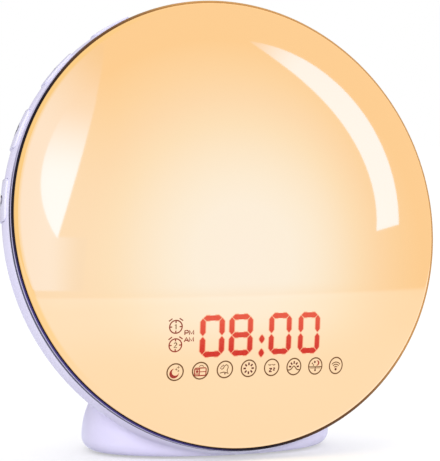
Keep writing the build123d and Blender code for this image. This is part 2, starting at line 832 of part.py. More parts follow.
def switches(angles):
    """Bodies of the side-push switches, each with a bore for its plunger."""
    wide, tall, long = plunger_size
    middle = plunger_end - 1.0 - switch_length / 2
    row = []
    for angle in angles:
        body = Pos(0, 0, middle) * Box(6.0, switch_height, switch_length)
        bore = Pos(0, 0, middle + 0.5) * Box(wide + 2 * slip, tall + 2 * slip, switch_length)
        row.append(stem_frame(angle) * (body - bore))
    return row


def plunger(angle):
    """Plunger of a switch: its outer end stays against the button's stem."""
    wide, tall, long = plunger_size
    return stem_frame(angle) * (Pos(0, 0, plunger_end - long / 2) * Box(wide, tall, long))


# ---------------------------------------------------------------- speaker, turned about its own axis

def speaker_parts():
    """Basket, magnet, moving cone and rolled surround; the speaker faces the back."""
    seat = -speaker_seat + 0.5
    rim = cone_radius + surround_width
    top = seat + basket_depth
    neck = magnet_radius - 1
    basket = turned(lines([
        (speaker_radius, seat), (speaker_radius, seat + basket_wall), (rim + basket_wall, seat + basket_wall),
        (neck + 1.2, top), (0, top), (0, top - 1.2), (neck + 0.4, top - 1.2), (rim, seat + basket_wall), (rim, seat),
    ]))
    for step in range(4):
        basket -= Rot(0, 0, 90 * step) * block((neck + 1.5, 30), (-4.5, 4.5), (seat + 2.2, top - 1.6))
    magnet = rod(magnet_radius, top, top + magnet_height)
    magnet = chamfer(magnet.edges().filter_by(GeomType.CIRCLE), 0.5)
    coil = 5.0
    skin = 0.6
    cap_ball = 7.0
    cap_middle = seat + 4.8 + math.sqrt(cap_ball**2 - coil**2)
    outer_turn = math.degrees(math.asin(coil / cap_ball))
    inner_turn = math.degrees(math.asin((coil - skin) / (cap_ball - skin)))
    inner_edge = cap_middle - math.sqrt((cap_ball - skin) ** 2 - (coil - skin) ** 2)
    cone = turned([
        Line((cone_radius, seat + 0.9), (coil, seat + 5.6)),
        Line((coil, seat + 5.6), (coil, seat + 8.0)),
        Line((coil, seat + 8.0), (coil - skin, seat + 8.0)),
        Line((coil - skin, seat + 8.0), (coil - skin, inner_edge)),
        CenterArc((0, cap_middle), cap_ball - skin, 270 + inner_turn, -inner_turn),
        Line((0, cap_middle - cap_ball + skin), (0, cap_middle - cap_ball)),
        CenterArc((0, cap_middle), cap_ball, 270, outer_turn),
        Line((coil, seat + 4.8), (cone_radius, seat + 0.4)),
        Line((cone_radius, seat + 0.4), (cone_radius, seat + 0.9)),
    ])
    inner = cone_radius + 0.1
    outer = rim - 0.1
    middle = (inner + outer) / 2
    surround = turned([
        ThreePointArc((inner, seat + 0.5), (middle, seat + 2.0), (outer, seat + 0.5)),
        Line((outer, seat + 0.5), (outer - 0.5, seat + 0.5)),
        ThreePointArc((outer - 0.5, seat + 0.5), (middle, seat + 1.5), (inner + 0.5, seat + 0.5)),
        Line((inner + 0.5, seat + 0.5), (inner, seat + 0.5)),
    ])
    gasket = rod(speaker_radius, -speaker_seat, seat) - rod(rim, -40, 0)
    for x, y in speaker_screw_places():
        hole = rod(clear_radius, -40, 0, (x, y - speaker_high))
        basket -= hole
        gasket -= hole
    return {"basket": basket, "magnet": magnet, "cone": cone, "surround": surround, "gasket": gasket}


def speaker_screws():
    return [screw(-speaker_seat + 0.5 + basket_wall, 4.5, place) for place in speaker_screw_places()]


# ---------------------------------------------------------------- base

def cover_axis():
    return (0, foot_y + cover_back)


def base_plate():
    """Plate that closes the foot, with a cup for the memory cell and recesses for the rubber feet."""
    low = ground_gap
    high = ground_gap + plate_thickness
    plate = plate_solid(plate_inset, low, high)
    cup_radius = cover_radius + lug_reach + cover_gap * 2
    place = cover_axis()
    plate += rod(cup_radius + cup_wall, high - 0.1, high + cup_height + 1.2, place)
    plate -= rod(cup_radius, high, high + lug_height + 2 * cover_gap, place)
    plate -= rod(cell_radius + cover_gap, high, high + cup_height, place)
    plate -= Pos(*place, 0) * block((cell_radius - 1, cell_radius + 1.1), (-2.7, 2.7), (high, high + cup_height))
    plate -= rod(cover_radius + cover_gap, 0, high + 1, place)
    notch = lug_shape(cover_radius + lug_reach + cover_gap, lug_angle + 8, 0, high + 1)
    plate -= Pos(*place, 0) * (Rot(0, 0, -cover_turn) * notch)
    for bar in rubber_bars(low - 1, low + rubber_sink, slip):
        plate -= bar
    for spot in mirrored_places(base_screw_places):
        plate -= rod(clear_radius, 0, 10, spot)
        plate -= rod(screw_head + 0.3, 0, low + 0.8, spot)
    for side in (-1, 1):
        plate += rod(main_post_radius, high - 0.1, port_board_under, port_post(side))
        plate -= rod(pilot_radius, high, port_board_under + 1, port_post(side))
    return plate


def port_post(side):
    x, ahead = port_post_place
    return (side * x, foot_y + bay_floor - ahead)


def lug_shape(radius, angle, low, high):
    """Two opposite lugs of a quarter-turn cover, pointing along X."""
    return sector(-angle / 2, angle / 2, 5, radius, low, high) + sector(
        180 - angle / 2, 180 + angle / 2, 5, radius, low, high
    )


def rubber_feet():
    bars = rubber_bars(0, ground_gap + rubber_sink)
    return [fillet(bar.edges().group_by(Axis.Z)[0], 0.4) for bar in bars]


def battery_cover():
    """Quarter-turn cover with two lugs and a slot for a coin."""
    low = ground_gap
    plug = rod(cover_radius, low, low + cover_height)
    seat = ground_gap + plate_thickness + cover_gap
    plug += lug_shape(cover_radius + lug_reach, lug_angle, seat, seat + lug_height)
    plug -= Pos(0, 0, low) * Box(coin_slot[0], coin_slot[1], 2 * coin_slot[2])
    return Pos(*cover_axis(), 0) * plug


def coin_cell():
    low = ground_gap + cover_height + cover_gap
    body = rod(cell_radius, low, low + cell_height)
    body = fillet(body.edges().group_by(Axis.Z)[0], 0.4)
    step = rod(cell_radius - 0.6, low + cell_height - 0.01, low + cell_height + 0.2)
    return Pos(*cover_axis(), 0) * (body + step)


def cell_contacts():
    """Leaf over the cell and a side spring, both fixed in the cup."""
    top = ground_gap + plate_thickness + cup_height
    cell_top = ground_gap + cover_height + cover_gap + cell_height + 0.2
    leaf = block((-3, 3), (-9, 9), (top - 0.3, top)) + rod(1.2, cell_top, top - 0.2)
    side = block((cell_radius + 0.4, cell_radius + 0.7), (-2.5, 2.5), (ground_gap + 4, top - 0.2))
    return [Pos(*cover_axis(), 0) * leaf, Pos(*cover_axis(), 0) * side]


def base_screws():
    """Low-headed screws up through the base plate, heads flush in their wells."""
    row = []
    for place in mirrored_places(base_screw_places):
        seat = ground_gap + 0.8
        row.append(Pos(place[0], place[1], 0) * flipped(screw(seat, 6.0, head_height=wafer_height), seat))
    return row


# ---------------------------------------------------------------- connectors

def port_board():
    y = foot_y + bay_floor - shell_wall - 0.2
    low = port_board_under
    x = bay_half_width - 1
    board = block((-x, x), (y - port_board_length, y), (low, low + board_thickness))
    for side in (-1, 1):
        board -= rod(clear_radius, 0, 20, port_post(side))
    return board


def dc_jack():
    """Power jack: a block with a round nose, a bore and a centre pin."""
    low = port_board_under + board_thickness
    back = foot_y + bay_floor - shell_wall - 0.4
    z = jack_axis()
    sides = (jack_place - jack_side / 2, jack_place + jack_side / 2)
    body = block(sides, (back - jack_length, back), (low, low + jack_height))
    frame = Plane(origin=(jack_place, back, z), x_dir=(1, 0, 0), z_dir=(0, 1, 0)).location
    nose = frame * (Pos(0, 0, -0.5) * extrude(Circle(jack_side / 2 - 0.4), shell_wall + 0.7))
    bore = frame * (Pos(0, 0, -9) * extrude(Circle(jack_bore), 20))
    pin = frame * (Pos(0, 0, -9.5) * extrude(Circle(jack_pin), 10.5))
    pin = fillet(pin.edges().sort_by(Axis.Y)[-1], 0.5)
    return body + nose - bore, pin - frame * (Pos(0, 0, -12) * Box(4, 4, 6)), frame


def usb_socket():
    """Charging socket: a folded metal box with a plastic tongue."""
    low = port_board_under + board_thickness
    y = foot_y + bay_floor - 0.4
    x = (usb_place - usb_width / 2, usb_place + usb_width / 2)
    can = block(x, (y - usb_length, y), (low, low + usb_height))
    inner = (x[0] + usb_skin, x[1] - usb_skin)
    can -= block(inner, (y - usb_length + 2.0, y + 1), (low + usb_skin, low + usb_height - usb_skin))
    middle = low + usb_height / 2 + 0.7
    tongue = block((x[0] + 1.2, x[1] - 1.2), (y - usb_length + 2.0, y - 1.0), (middle - 0.95, middle + 0.95))
    return can, tongue


# ---------------------------------------------------------------- wires

def wire(points, bend=2.0):
    line = FilletPolyline(*points, radius=bend)
    return sweep(Plane(origin=line @ 0, z_dir=line % 0) * Circle(wire_radius), path=line)


def in_world(x, y, z):
    return (HEAD * Pos(x, y, z)).position


def power_row():
    """Middle of the socket at the front edge of the connector board."""
    return foot_y + bay_floor - port_board_length


def power_socket():
    low = port_board_under + board_thickness
    return Pos(back_sockets[4][0], power_row(), 0) * socket(0, 0, 8.0, low, 4.4)


def wires():
    """Pairs of insulated wires between the boards, the speaker and the connectors."""
    runs = []
    back = -main_depth - board_thickness - 4.0
    behind = back - 4.4
    rim = -speaker_seat + 0.5 + basket_wall + wire_radius
    for side in (-1, 1):
        x = 1.5 * side
        y = back_sockets[0][1]
        runs.append(HEAD * wire([(x, y, back), (x, y, rim), (x, speaker_high - speaker_radius + 1.5, rim)], 1.2))
        x = 1.3 * side
        middle = (-flange_top - main_depth) / 2
        (_, low), (_, high) = light_feed
        feed = [(x, high, -flange_top - 1.4), (x, high, middle), (x, low, middle), (x, low, -main_depth + 1.4)]
        runs.append(HEAD * wire(feed, 1.2))
        x = back_sockets[4][0] + 1.5 * side
        start = in_world(x, back_sockets[4][1], back)
        turn = in_world(x, back_sockets[4][1], behind)
        level = 16.0
        y = power_row()
        runs.append(wire([start, turn, (x, turn.Y, level), (x, y, level), (x, y, port_board_under + 4.0)], 2.0))
        for pair in (0, 1.6):
            x, y = around(152.0, stem_end - 11.5)
            x, y, z = -x * side, y + pair, -key_top - board_thickness - 0.1
            far = (28.0 + 1.6 - 2 * pair) * side
            path = [(x, y, z), (x, y, -18.0), (48.0 * side, -8.0 + pair, -18.0)]
            path += [(46.0 * side, -20.0, behind), (far, -20.0, behind), (far, -20.0, back)]
            if pair == 0:
                runs.append(HEAD * wire(path, 1.6))
    x, y, _ = back_sockets[1]
    top = [(3.0, 68.0, -key_top - board_thickness - 0.1), (3.0, 68.0, -17.5), (30.0, 48.0, -17.5)]
    top += [(30.0, 0.0, -19.5), (x, y, behind), (x, y, back)]
    runs.append(HEAD * wire(top, 1.6))
    return runs


def build():
    keep("rear_shell", rear_shell())
    keep("front_diffuser", HEAD * front_dome())
    keep("trim_ring", HEAD * trim_ring())
    keep("reflector_frame", HEAD * reflector())
    keep("light_board", HEAD * light_board())
    keep("light_chips", *[HEAD * chip for chip in leds()])
    board_face = -flange_top + board_thickness
    short = light_screw_places() + display_screw_places()
    keep("short_screws", *[HEAD * screw(board_face, 3.0, place) for place in short])
    keep("display_housing", HEAD * display_housing())
    bars = [face for place in digit_places for face in digit_faces(place)] + colon_faces()
    keep("digit_guides", *[HEAD * solid for solid in guides(bars, board_face + 0.6)])
    keep("icon_guides", *[HEAD * solid for solid in guides(icon_faces(), board_face + 0.6)])
    keep("display_board", HEAD * display_board())
    keep("display_ribbon", HEAD * ribbon())
    keep("main_board", HEAD * main_board())
    keep("main_board_chips", *[HEAD * part for part in chips()])
    module, can = radio_module()
    keep("radio_board", HEAD * module)
    keep("radio_can", HEAD * can)
    keep("capacitors", *[HEAD * part for part in capacitors()])
    keep("wire_sockets", *[HEAD * part for part in sockets() + ribbon_ends()], power_socket())
    keep("wires", *wires())
    for name in key_sectors():
        keep(f"key_board_{name}", HEAD * key_board(name))
    angles = [180 - a for a in button_angles] + [90] + button_angles
    keep("key_switches", *[HEAD * part for part in switches(angles)])
    board_screws = [screw(-main_depth, 4.5, place) for place in main_post_places()]
    board_screws += [screw(-key_top, 4.5, place) for place in key_post_places()] + speaker_screws()
    keep("board_screws", *[HEAD * part for part in board_screws])
    for number, angle in enumerate(button_angles, 1):
        for side, turn in (("left", 180 - angle), ("right", angle)):
            keep(f"{side}_button_{number}", HEAD * button(turn, button_length))
            keep(f"{side}_plunger_{number}", HEAD * plunger(turn))
    keep("snooze_button", HEAD * button(90, snooze_length))
    keep("snooze_plunger", HEAD * plunger(90))
    speaker = Pos(0, speaker_high, 0)
    for name, part in speaker_parts().items():
        keep(f"speaker_{name}", HEAD * (speaker * part))
    well = -board_back - 4.0
    shell_screws = [Pos(*around(a, post_circle), 0) * flipped(screw(well, 11.0), well) for a in post_angles]
    keep("shell_screws", *[HEAD * part for part in shell_screws])
    keep("base_plate", base_plate())
    keep("rubber_feet", *rubber_feet())
    keep("base_screws", *base_screws())
    keep("battery_cover", battery_cover())
    keep("coin_cell", coin_cell())
    keep("cell_contacts", *cell_contacts())
    keep("port_board", port_board())
    jack, pin, frame = dc_jack()
    keep("dc_jack", jack)
    keep("dc_jack_pin", pin)
    can, tongue = usb_socket()
    keep("usb_shell", can)
    keep("usb_tongue", tongue)
    os.makedirs("parts", exist_ok=True)
    for name, solids in nodes.items():
        shape = solids[0] if len(solids) == 1 else Compound(children=solids)
        export_step(shape, f"parts/{name}.step")


build()
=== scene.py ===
import json
import math

import bmesh
import bpy
import numpy as np
from mathutils import Matrix, Vector


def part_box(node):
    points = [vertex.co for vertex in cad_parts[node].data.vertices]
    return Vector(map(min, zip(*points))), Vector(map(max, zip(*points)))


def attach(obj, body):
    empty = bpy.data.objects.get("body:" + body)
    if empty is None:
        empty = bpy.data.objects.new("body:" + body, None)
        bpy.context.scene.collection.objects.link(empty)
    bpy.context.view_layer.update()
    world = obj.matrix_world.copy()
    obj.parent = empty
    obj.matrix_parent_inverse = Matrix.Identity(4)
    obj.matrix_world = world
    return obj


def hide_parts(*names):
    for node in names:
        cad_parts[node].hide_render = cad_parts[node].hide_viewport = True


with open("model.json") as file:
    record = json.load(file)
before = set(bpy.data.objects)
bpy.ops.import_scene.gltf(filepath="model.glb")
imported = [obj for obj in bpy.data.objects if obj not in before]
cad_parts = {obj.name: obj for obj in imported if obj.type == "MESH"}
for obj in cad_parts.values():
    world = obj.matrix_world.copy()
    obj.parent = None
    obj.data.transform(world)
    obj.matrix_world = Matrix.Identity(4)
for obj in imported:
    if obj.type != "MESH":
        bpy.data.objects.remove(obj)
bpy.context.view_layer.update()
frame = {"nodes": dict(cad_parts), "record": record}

# Sunrise alarm clock: a lit dome with a display behind its lower half, a dark trim ring, and a
# lavender housing with keys round its band.  Metres, in the model's frame: +Z up, front towards -Y.
# Places on the face are given as right, up and out of the face, from the middle of the dome's edge.

MM = 0.001
BLACK = (0.0, 0.0, 0.0, 1.0)

# -------- the clock's own sizes
TILT = math.radians(11.0)            # lean of the face back from upright
DISC_HEIGHT = 88.4 * MM              # middle of the dome's edge above the table
DOME_RADIUS = 85.4 * MM
DOME_RISE = 26.0 * MM                # crown of the dome in front of its edge
DOME_EDGE = 1.6 * MM                 # straight part of the dome's edge
EDGE_ROUND = 2.8 * MM                # rounding between the cap and the straight part
DOME_WALL = 2.0 * MM
SKIRT_INSET = 1.0 * MM               # step from the dome's outline to its skirt
SKIRT_DEPTH = 3.2 * MM

RING_RADIUS = 86.5 * MM              # trim ring around the dome
RING_INNER = 84.6 * MM
RING_DEPTH = 2.8 * MM                # its outer side, front to back
RING_TONGUE = 85.3 * MM              # radius of its rear tongue, and the tongue's back end
RING_BACK = 4.2 * MM
RING_CHANNEL = 0.35 * MM             # channel round its front: depth and half-width
RING_CHANNEL_HALF = 0.28 * MM
RING_OUTER_CORNER = 0.6 * MM         # where its straight sides start, behind its front
RING_INNER_CORNER = 0.4 * MM

SHELL_RADIUS = 87.0 * MM             # housing's band at its widest, and that place behind the dome's edge
CREST_DEPTH = 9.0 * MM
BACK_DEPTH = 25.0 * MM               # bowl of the back, behind the widest part
BUTTON_DEPTH = 10.0 * MM             # middle of the keys behind the dome's edge
BUTTON_RAISE = 0.6 * MM
BUTTON_PITCH = 18.5                  # degrees from key to key
FIRST_BUTTON = 7.5                   # lowest key above the horizontal, in degrees

BALL = (DOME_RADIUS**2 + (DOME_RISE - DOME_EDGE) ** 2) / (2 * (DOME_RISE - DOME_EDGE))
BALL_MIDDLE = DOME_RISE - BALL
DOME_REACH = BALL - (BALL - DOME_RISE) * math.cos(TILT)      # foremost point in front of the face's middle

FACE_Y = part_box("front_diffuser")[0][1] + DOME_REACH
FACE_MIDDLE = Vector((0.0, FACE_Y, DISC_HEIGHT))
FACE_RIGHT = Vector((1.0, 0.0, 0.0))
FACE_UP = Vector((0.0, math.sin(TILT), math.cos(TILT)))
FACE_OUT = Vector((0.0, -math.cos(TILT), math.sin(TILT)))
FACE_TURN = Matrix((FACE_RIGHT, FACE_UP, FACE_OUT)).transposed()

# -------- display
DISPLAY_SHIFT = 0.8 * MM             # whole display right of the face's middle
LIT_TIME = "0800"
DIGIT_ROW = -44.6 * MM               # middle of the digits, from the face's middle
DIGIT_HEIGHT = 14.9 * MM
DIGIT_WIDTH = 9.2 * MM
DIGIT_STROKE = 1.9 * MM
DIGIT_GAP = 0.32 * MM                # between a bar's tip and the corner of its digit
WAIST_GAP = 0.6 * MM                 # between the upper and lower uprights of a nought
DIGIT_PLACES = [-18.6 * MM, -7.5 * MM, 8.4 * MM, 20.7 * MM]
COLON_PLACE = 0.9 * MM
COLON_DROPS = (1.8 * MM, 6.8 * MM)   # the two points below the middle of the digits
COLON_HALVES = (1.05 * MM, 1.45 * MM)
ICON_ROW = -56.8 * MM
ICON_SHIFT = 0.9 * MM                # middle of the row of icons
ICON_PITCH = 9.36 * MM
ICON_RADIUS = 3.2 * MM
ICON_RIM = 0.5 * MM
ALARM_PLACE = -32.3 * MM
ALARM_ROWS = (-40.6 * MM, -47.2 * MM)
ALARM_HALF = 3.0 * MM                # middle of an alarm mark to the top of its bells
PERIOD_PLACE = -27.4 * MM
PERIOD_ROWS = (-42.9 * MM, -45.4 * MM)
PERIOD_HEIGHT = 1.55 * MM            # of the letters, and their stroke
PERIOD_STROKE = 0.44 * MM
GLOW_MARGIN = 0.32 * MM              # soft red edge round the digits
GLOW_LIFT = 0.015 * MM               # it and the marks lie this far above the dome's surface
PRINT_LIFT = 0.03 * MM
LIT_PRINT_LIFT = 0.039 * MM
FINE_PRINT_LIFT = 0.045 * MM
SIGN_LIFT = 0.04 * MM                # printed signs above the keys' tops

# -------- the dome's glow
GLOW_STRENGTH = 0.91                 # share of the dome's brightness that it gives off itself
SCATTER = 0.06                       # share of the light falling on it that it sends back
GLOSS_VEIL = 0.022                   # what its gloss adds to its colour
CLOUDING = 0.05                      # how far the glow's zones waver
MARK_STRENGTH = 0.95                 # share of a mark's brightness that it gives off itself
WARM_SPECK = (1.0, 0.55, 0.4, 1.0)   # colour of the fine specks in the marks
GLOW_MIDDLE = (-5.0 * MM, -16.0 * MM)
GLOW_COLOURS = [                     # by distance from that middle, as a share of the dome's radius
    (0.00, (254, 239, 219)), (0.22, (254, 239, 217)), (0.34, (254, 236, 209)), (0.46, (254, 231, 198)),
    (0.58, (254, 225, 184)), (0.70, (254, 218, 172)), (0.82, (254, 213, 160)), (0.98, (254, 206, 145)),
]
# Zones that turn towards another colour: where each starts, where it is full, and its share there.
AMBER_RIGHT = (20 * MM, 75 * MM, 0.4)
PALE_LEFT = (-45 * MM, -75 * MM, 0.45)
# The two lower zones are a painted reflection of the table: a step at the level of its horizon, then a wider
# change below it.
TABLE_REFLECTION_STEP = (-25 * MM, -34 * MM, 0.33)
TABLE_REFLECTION_FALL = (-36 * MM, -57 * MM, 0.5)
GOLD_EDGE = (2.9 * MM, 2.2 * MM, 1.0)        # the rounded edge, by its height out of the face
GOLD_EDGE_FOOT = (-66 * MM, -36 * MM, 1.0)


# -------- colours and node helpers

def linear(red, green, blue):
    """Colour given as screen values 0 to 255, in the linear values that shaders use."""
    def decode(value):
        value /= 255.0
        return value / 12.92 if value <= 0.04045 else ((value + 0.055) / 1.055) ** 2.4
    return (decode(red), decode(green), decode(blue), 1.0)


def unveiled(red, green, blue):
    """The colour less what the gloss of pale surroundings adds to it."""
    return tuple(max(0.0, value - GLOSS_VEIL) for value in linear(red, green, blue)[:3]) + (1.0,)


def scaled(colour, factor, lift=0.0):
    """Colour times a factor, plus a lift, at most white."""
    return tuple(min(1.0, factor * value + lift) for value in colour[:3]) + (1.0,)


def feed(tree, plug, value):
    """Link a socket to a plug, or write a plain value on the plug itself."""
    if isinstance(value, bpy.types.NodeSocket):
        tree.links.new(value, plug)
    else:
        plug.default_value = value


class Nodes:
    """Short way to write a material's node tree."""

    def __init__(self, name):
        self.material = bpy.data.materials.new(name)
        self.material.use_nodes = True
        self.tree = self.material.node_tree
        self.shader = self.tree.nodes["Principled BSDF"]
        self.place = self.add("ShaderNodeTexCoord").outputs["Object"]

    def add(self, kind, inputs=None, **settings):
        """New node with its settings made and its inputs fed."""
        node = self.tree.nodes.new(kind)
        for key, value in settings.items():
            setattr(node, key, value)
        for key, value in (inputs or {}).items():
            feed(self.tree, node.inputs[key], value)
        return node

    def set(self, **values):
        """Feed the shader's own sockets; an underscore stands for a space in their names."""
        for key, value in values.items():
            feed(self.tree, self.shader.inputs[key.replace("_", " ")], value)

    def math(self, operation, first, second=0.0):
        """One step of arithmetic on two values."""
        return self.add("ShaderNodeMath", {0: first, 1: second}, operation=operation).outputs[0]

    def noise(self, scale, detail=3.0, rough=0.5, place=None):
        """Cloudy value by place, with the scale counted per metre."""
        inputs = {"Vector": place or self.place, "Scale": scale, "Detail": detail, "Roughness": rough}
        return self.add("ShaderNodeTexNoise", inputs).outputs["Fac"]

    def ramp(self, value, stops, smooth=True):
        """Colour by value, between stops of a spot and a colour."""
        node = self.add("ShaderNodeValToRGB", {"Fac": value})
        bar = node.color_ramp
        bar.interpolation = "EASE" if smooth else "LINEAR"
        while len(bar.elements) < len(stops):
            bar.elements.new(1.0)
        for element, (spot, colour) in zip(bar.elements, stops):
            element.position = spot
            element.color = colour
        return node.outputs["Color"]

    def span(self, value, low, high, out_low=0.0, out_high=1.0):
        """Smooth step from out_low to out_high as the value goes from low to high."""
        inputs = {"Value": value, "From Min": low, "From Max": high, "To Min": out_low, "To Max": out_high}
        return self.add("ShaderNodeMapRange", inputs, interpolation_type="SMOOTHSTEP").outputs[0]

    def zone(self, value, zone):
        """Smooth step from nothing, where the zone starts, to its share, where it is full."""
        start, full, share = zone
        return self.span(value, start, full, 0.0, share)

    def patchy(self, noise, middle, below, above):
        """A noise's middle range made a value that wavers from middle - below to middle + above."""
        return self.span(noise, 0.3, 0.7, middle - below, middle + above)

    def mix(self, amount, first, second):
        """Colour between two, by an amount from 0 to 1."""
        node = self.add("ShaderNodeMix", data_type="RGBA")
        feed(self.tree, node.inputs["Factor"], amount)
        feed(self.tree, node.inputs["A"], first)
        feed(self.tree, node.inputs["B"], second)
        return node.outputs["Result"]

    def bump(self, height, strength, distance):
        """Shade the surface as if it were raised by height x distance; a lower strength softens it."""
        inputs = {"Height": height, "Strength": strength, "Distance": distance}
        self.set(Normal=self.add("ShaderNodeBump", inputs).outputs["Normal"])

    def face_place(self):
        """Object coordinates turned into the face's own frame: right, up and out of the face."""
        shifted = self.add("ShaderNodeVectorMath", {0: self.place, 1: FACE_MIDDLE}, operation="SUBTRACT")
        parts = []
        for axis in (FACE_RIGHT, FACE_UP, FACE_OUT):
            dot = self.add("ShaderNodeVectorMath", {0: shifted.outputs[0], 1: axis}, operation="DOT_PRODUCT")
            parts.append(dot.outputs["Value"])
        return parts

    def distance(self, across, along):
        """Square root of the sum of two squares."""
        squares = [self.math("MULTIPLY", side, side) for side in (across, along)]
        return self.math("SQRT", self.math("ADD", *squares))


# -------- finishes

def glowing_diffuser():
    """Lit milk-white dome: pale in the middle, amber towards the rim, paler at the left, and paler below,
    where a reflection of the table is painted into its glow.
    """
    n = Nodes("glowing_diffuser")
    right, up, out = n.face_place()
    away = n.distance(n.math("SUBTRACT", right, GLOW_MIDDLE[0]), n.math("SUBTRACT", up, GLOW_MIDDLE[1]))
    cloud = n.math("MULTIPLY", n.math("SUBTRACT", n.noise(9.0, 1.0), 0.5), CLOUDING)
    share = n.math("ADD", n.math("DIVIDE", away, DOME_RADIUS), cloud)
    stops = [(spot, unveiled(*colour)) for spot, colour in GLOW_COLOURS]
    glow = n.ramp(share, stops, smooth=False)
    glow = n.mix(n.zone(right, AMBER_RIGHT), glow, unveiled(254, 204, 140))
    glow = n.mix(n.zone(right, PALE_LEFT), glow, unveiled(254, 231, 201))
    # Painted reflection of the table across the lower part of the dome.
    below = n.math("ADD", n.zone(up, TABLE_REFLECTION_STEP), n.zone(up, TABLE_REFLECTION_FALL))
    glow = n.mix(below, glow, unveiled(254, 213, 160))
    leftwards = n.span(right, -15 * MM, -55 * MM, 0.15, 1.0)
    edge = n.math("MULTIPLY", n.zone(out, GOLD_EDGE), leftwards)
    edge = n.math("MULTIPLY", edge, n.zone(up, GOLD_EDGE_FOOT))
    glow = n.mix(edge, glow, unveiled(253, 206, 132))
    n.set(Base_Color=n.mix(SCATTER, BLACK, glow), Emission_Color=glow, Emission_Strength=GLOW_STRENGTH)
    n.set(Roughness=0.045, IOR=1.49, Specular_IOR_Level=1.0)
    n.bump(n.noise(60.0, 2.0), 0.02, 0.2 * MM)
    return n.material


def moulded_plastic(name, colour, shade, rough, grain=900.0, depth=0.12):
    """Moulded plastic of two screen colours: a slight drift, the grain of an eroded mould, a soft gloss."""
    n = Nodes(name)
    n.set(Base_Color=n.ramp(n.noise(22.0), [(0.3, linear(*shade)), (0.7, linear(*colour))]))
    n.set(Roughness=n.patchy(n.noise(240.0, 4.0), rough, 0.05, 0.07), IOR=1.49, Specular_IOR_Level=0.2)
    n.bump(n.noise(grain, 4.0, 0.6), depth, 0.08 * MM)
    return n.material


def lacquer_with_painted_reflections():
    """Trim ring: black front and navy side, with painted light: a painted highlight as a pale line round its
    corner, painted reflections in navy at the lower left of the front and pale on the upper side, and a
    gold-brown painted reflection of the dome's glow at the upper right.
    """
    n = Nodes("lacquer_with_painted_reflections")
    right, up, out = n.face_place()
    from_middle = n.distance(right, up)
    outermost = n.span(from_middle, RING_RADIUS - 0.3 * MM, RING_RADIUS - 0.1 * MM)
    # Painted highlight: the pale line round the ring's outer corner.
    corner = n.math("MULTIPLY", outermost, n.span(out, -0.15 * MM, -0.35 * MM))
    side = n.span(out, -0.85 * MM, -1.05 * MM)
    # Painted reflections: pale on the ring's upper side, navy on the lower left of its front's outer half.
    high = n.span(up, 0 * MM, 45 * MM)
    low_left = n.span(n.math("ADD", right, up), -84 * MM, -112 * MM)
    outer_half = n.span(from_middle, RING_RADIUS - 0.8 * MM, RING_RADIUS - 0.4 * MM)
    colour = n.mix(n.math("MULTIPLY", low_left, outer_half), linear(14, 8, 16), linear(52, 44, 108))
    colour = n.mix(corner, colour, linear(200, 192, 226))
    colour = n.mix(side, colour, n.mix(high, linear(32, 26, 62), linear(196, 190, 222)))
    # Painted reflection of the dome's glow: gold-brown towards the upper right.
    upper_right = n.math("ADD", right, n.math("MULTIPLY", up, 0.6))
    colour = n.mix(n.span(upper_right, -45 * MM, 10 * MM), colour, linear(104, 74, 44))
    colour = n.mix(n.span(upper_right, 0 * MM, 45 * MM), colour, linear(182, 140, 84))
    streak = n.noise(300.0, 2.0)
    n.set(Base_Color=n.mix(n.math("MULTIPLY", streak, 0.1), colour, linear(90, 84, 120)))
    n.set(Roughness=n.patchy(streak, 0.3, 0.05, 0.05), Specular_IOR_Level=0.2)
    n.bump(n.noise(500.0, 2.0), 0.04, 0.05 * MM)
    return n.material


def lit_mark(name, top, bottom, high, low):
    """Lit or printed mark on the dome: its colour runs from high to low, with fine warm specks."""
    n = Nodes(name)
    _, up, _ = n.face_place()
    colour = n.mix(n.span(up, high, low), top, bottom)
    speck = n.math("MULTIPLY", n.noise(1600.0, 2.0), 0.12)
    colour = n.mix(speck, colour, WARM_SPECK)
    n.set(Base_Color=n.mix(MARK_STRENGTH, colour, BLACK), Emission_Color=colour)
    n.set(Emission_Strength=MARK_STRENGTH, Roughness=0.3, Specular_IOR_Level=0.1)
    return n.material


def brushed_metal(name, colour, rough=0.32, stretch=(60.0, 60.0, 900.0)):
    """Metal with fine draw lines and patchy gloss."""
    n = Nodes(name)
    lines = n.add("ShaderNodeMapping", {"Vector": n.place, "Scale": stretch}).outputs["Vector"]
    grain = n.noise(6.0, 4.0, 0.6, lines)
    n.set(Base_Color=n.ramp(grain, [(0.3, scaled(colour, 0.72)), (0.7, colour)]))
    n.set(Roughness=n.patchy(n.noise(180.0), rough, 0.07, 0.1), Metallic=1.0)
    n.bump(grain, 0.1, 0.04 * MM)
    return n.material


def circuit_board(name, mask, copper):
    """Solder mask over a maze of tracks: cell edges stand a little proud and lighter."""
    n = Nodes(name)
    cells = n.add("ShaderNodeTexVoronoi", {"Vector": n.place, "Scale": 420.0},
                  distance="MANHATTAN", feature="DISTANCE_TO_EDGE")
    track = n.span(cells.outputs["Distance"], 0.03, 0.09, 1.0, 0.0)
    n.set(Base_Color=n.mix(n.math("MULTIPLY", track, 0.6), mask, copper), Roughness=0.3)
    n.bump(track, 0.2, 0.05 * MM)
    return n.material


def rubbery(name, colour, rough, grain):
    """Matte rubber, foam or paper: dusty light patches over a dark grained skin."""
    n = Nodes(name)
    dust = n.noise(60.0, 5.0, 0.65)
    n.set(Base_Color=n.ramp(dust, [(0.35, colour), (0.8, scaled(colour, 1.9, 0.01))]))
    n.set(Roughness=n.patchy(dust, rough, 0.06, 0.1))
    n.bump(n.noise(grain, 5.0, 0.7), 0.3, 0.1 * MM)
    return n.material


def light_chip():
    """Warm light-emitting chip: yellow phosphor, mottled."""
    n = Nodes("light_chip")
    colour = n.ramp(n.noise(700.0), [(0.3, linear(240, 214, 120)), (0.7, linear(252, 240, 190))])
    n.set(Base_Color=colour, Emission_Color=colour, Emission_Strength=0.8, Roughness=0.4)
    return n.material


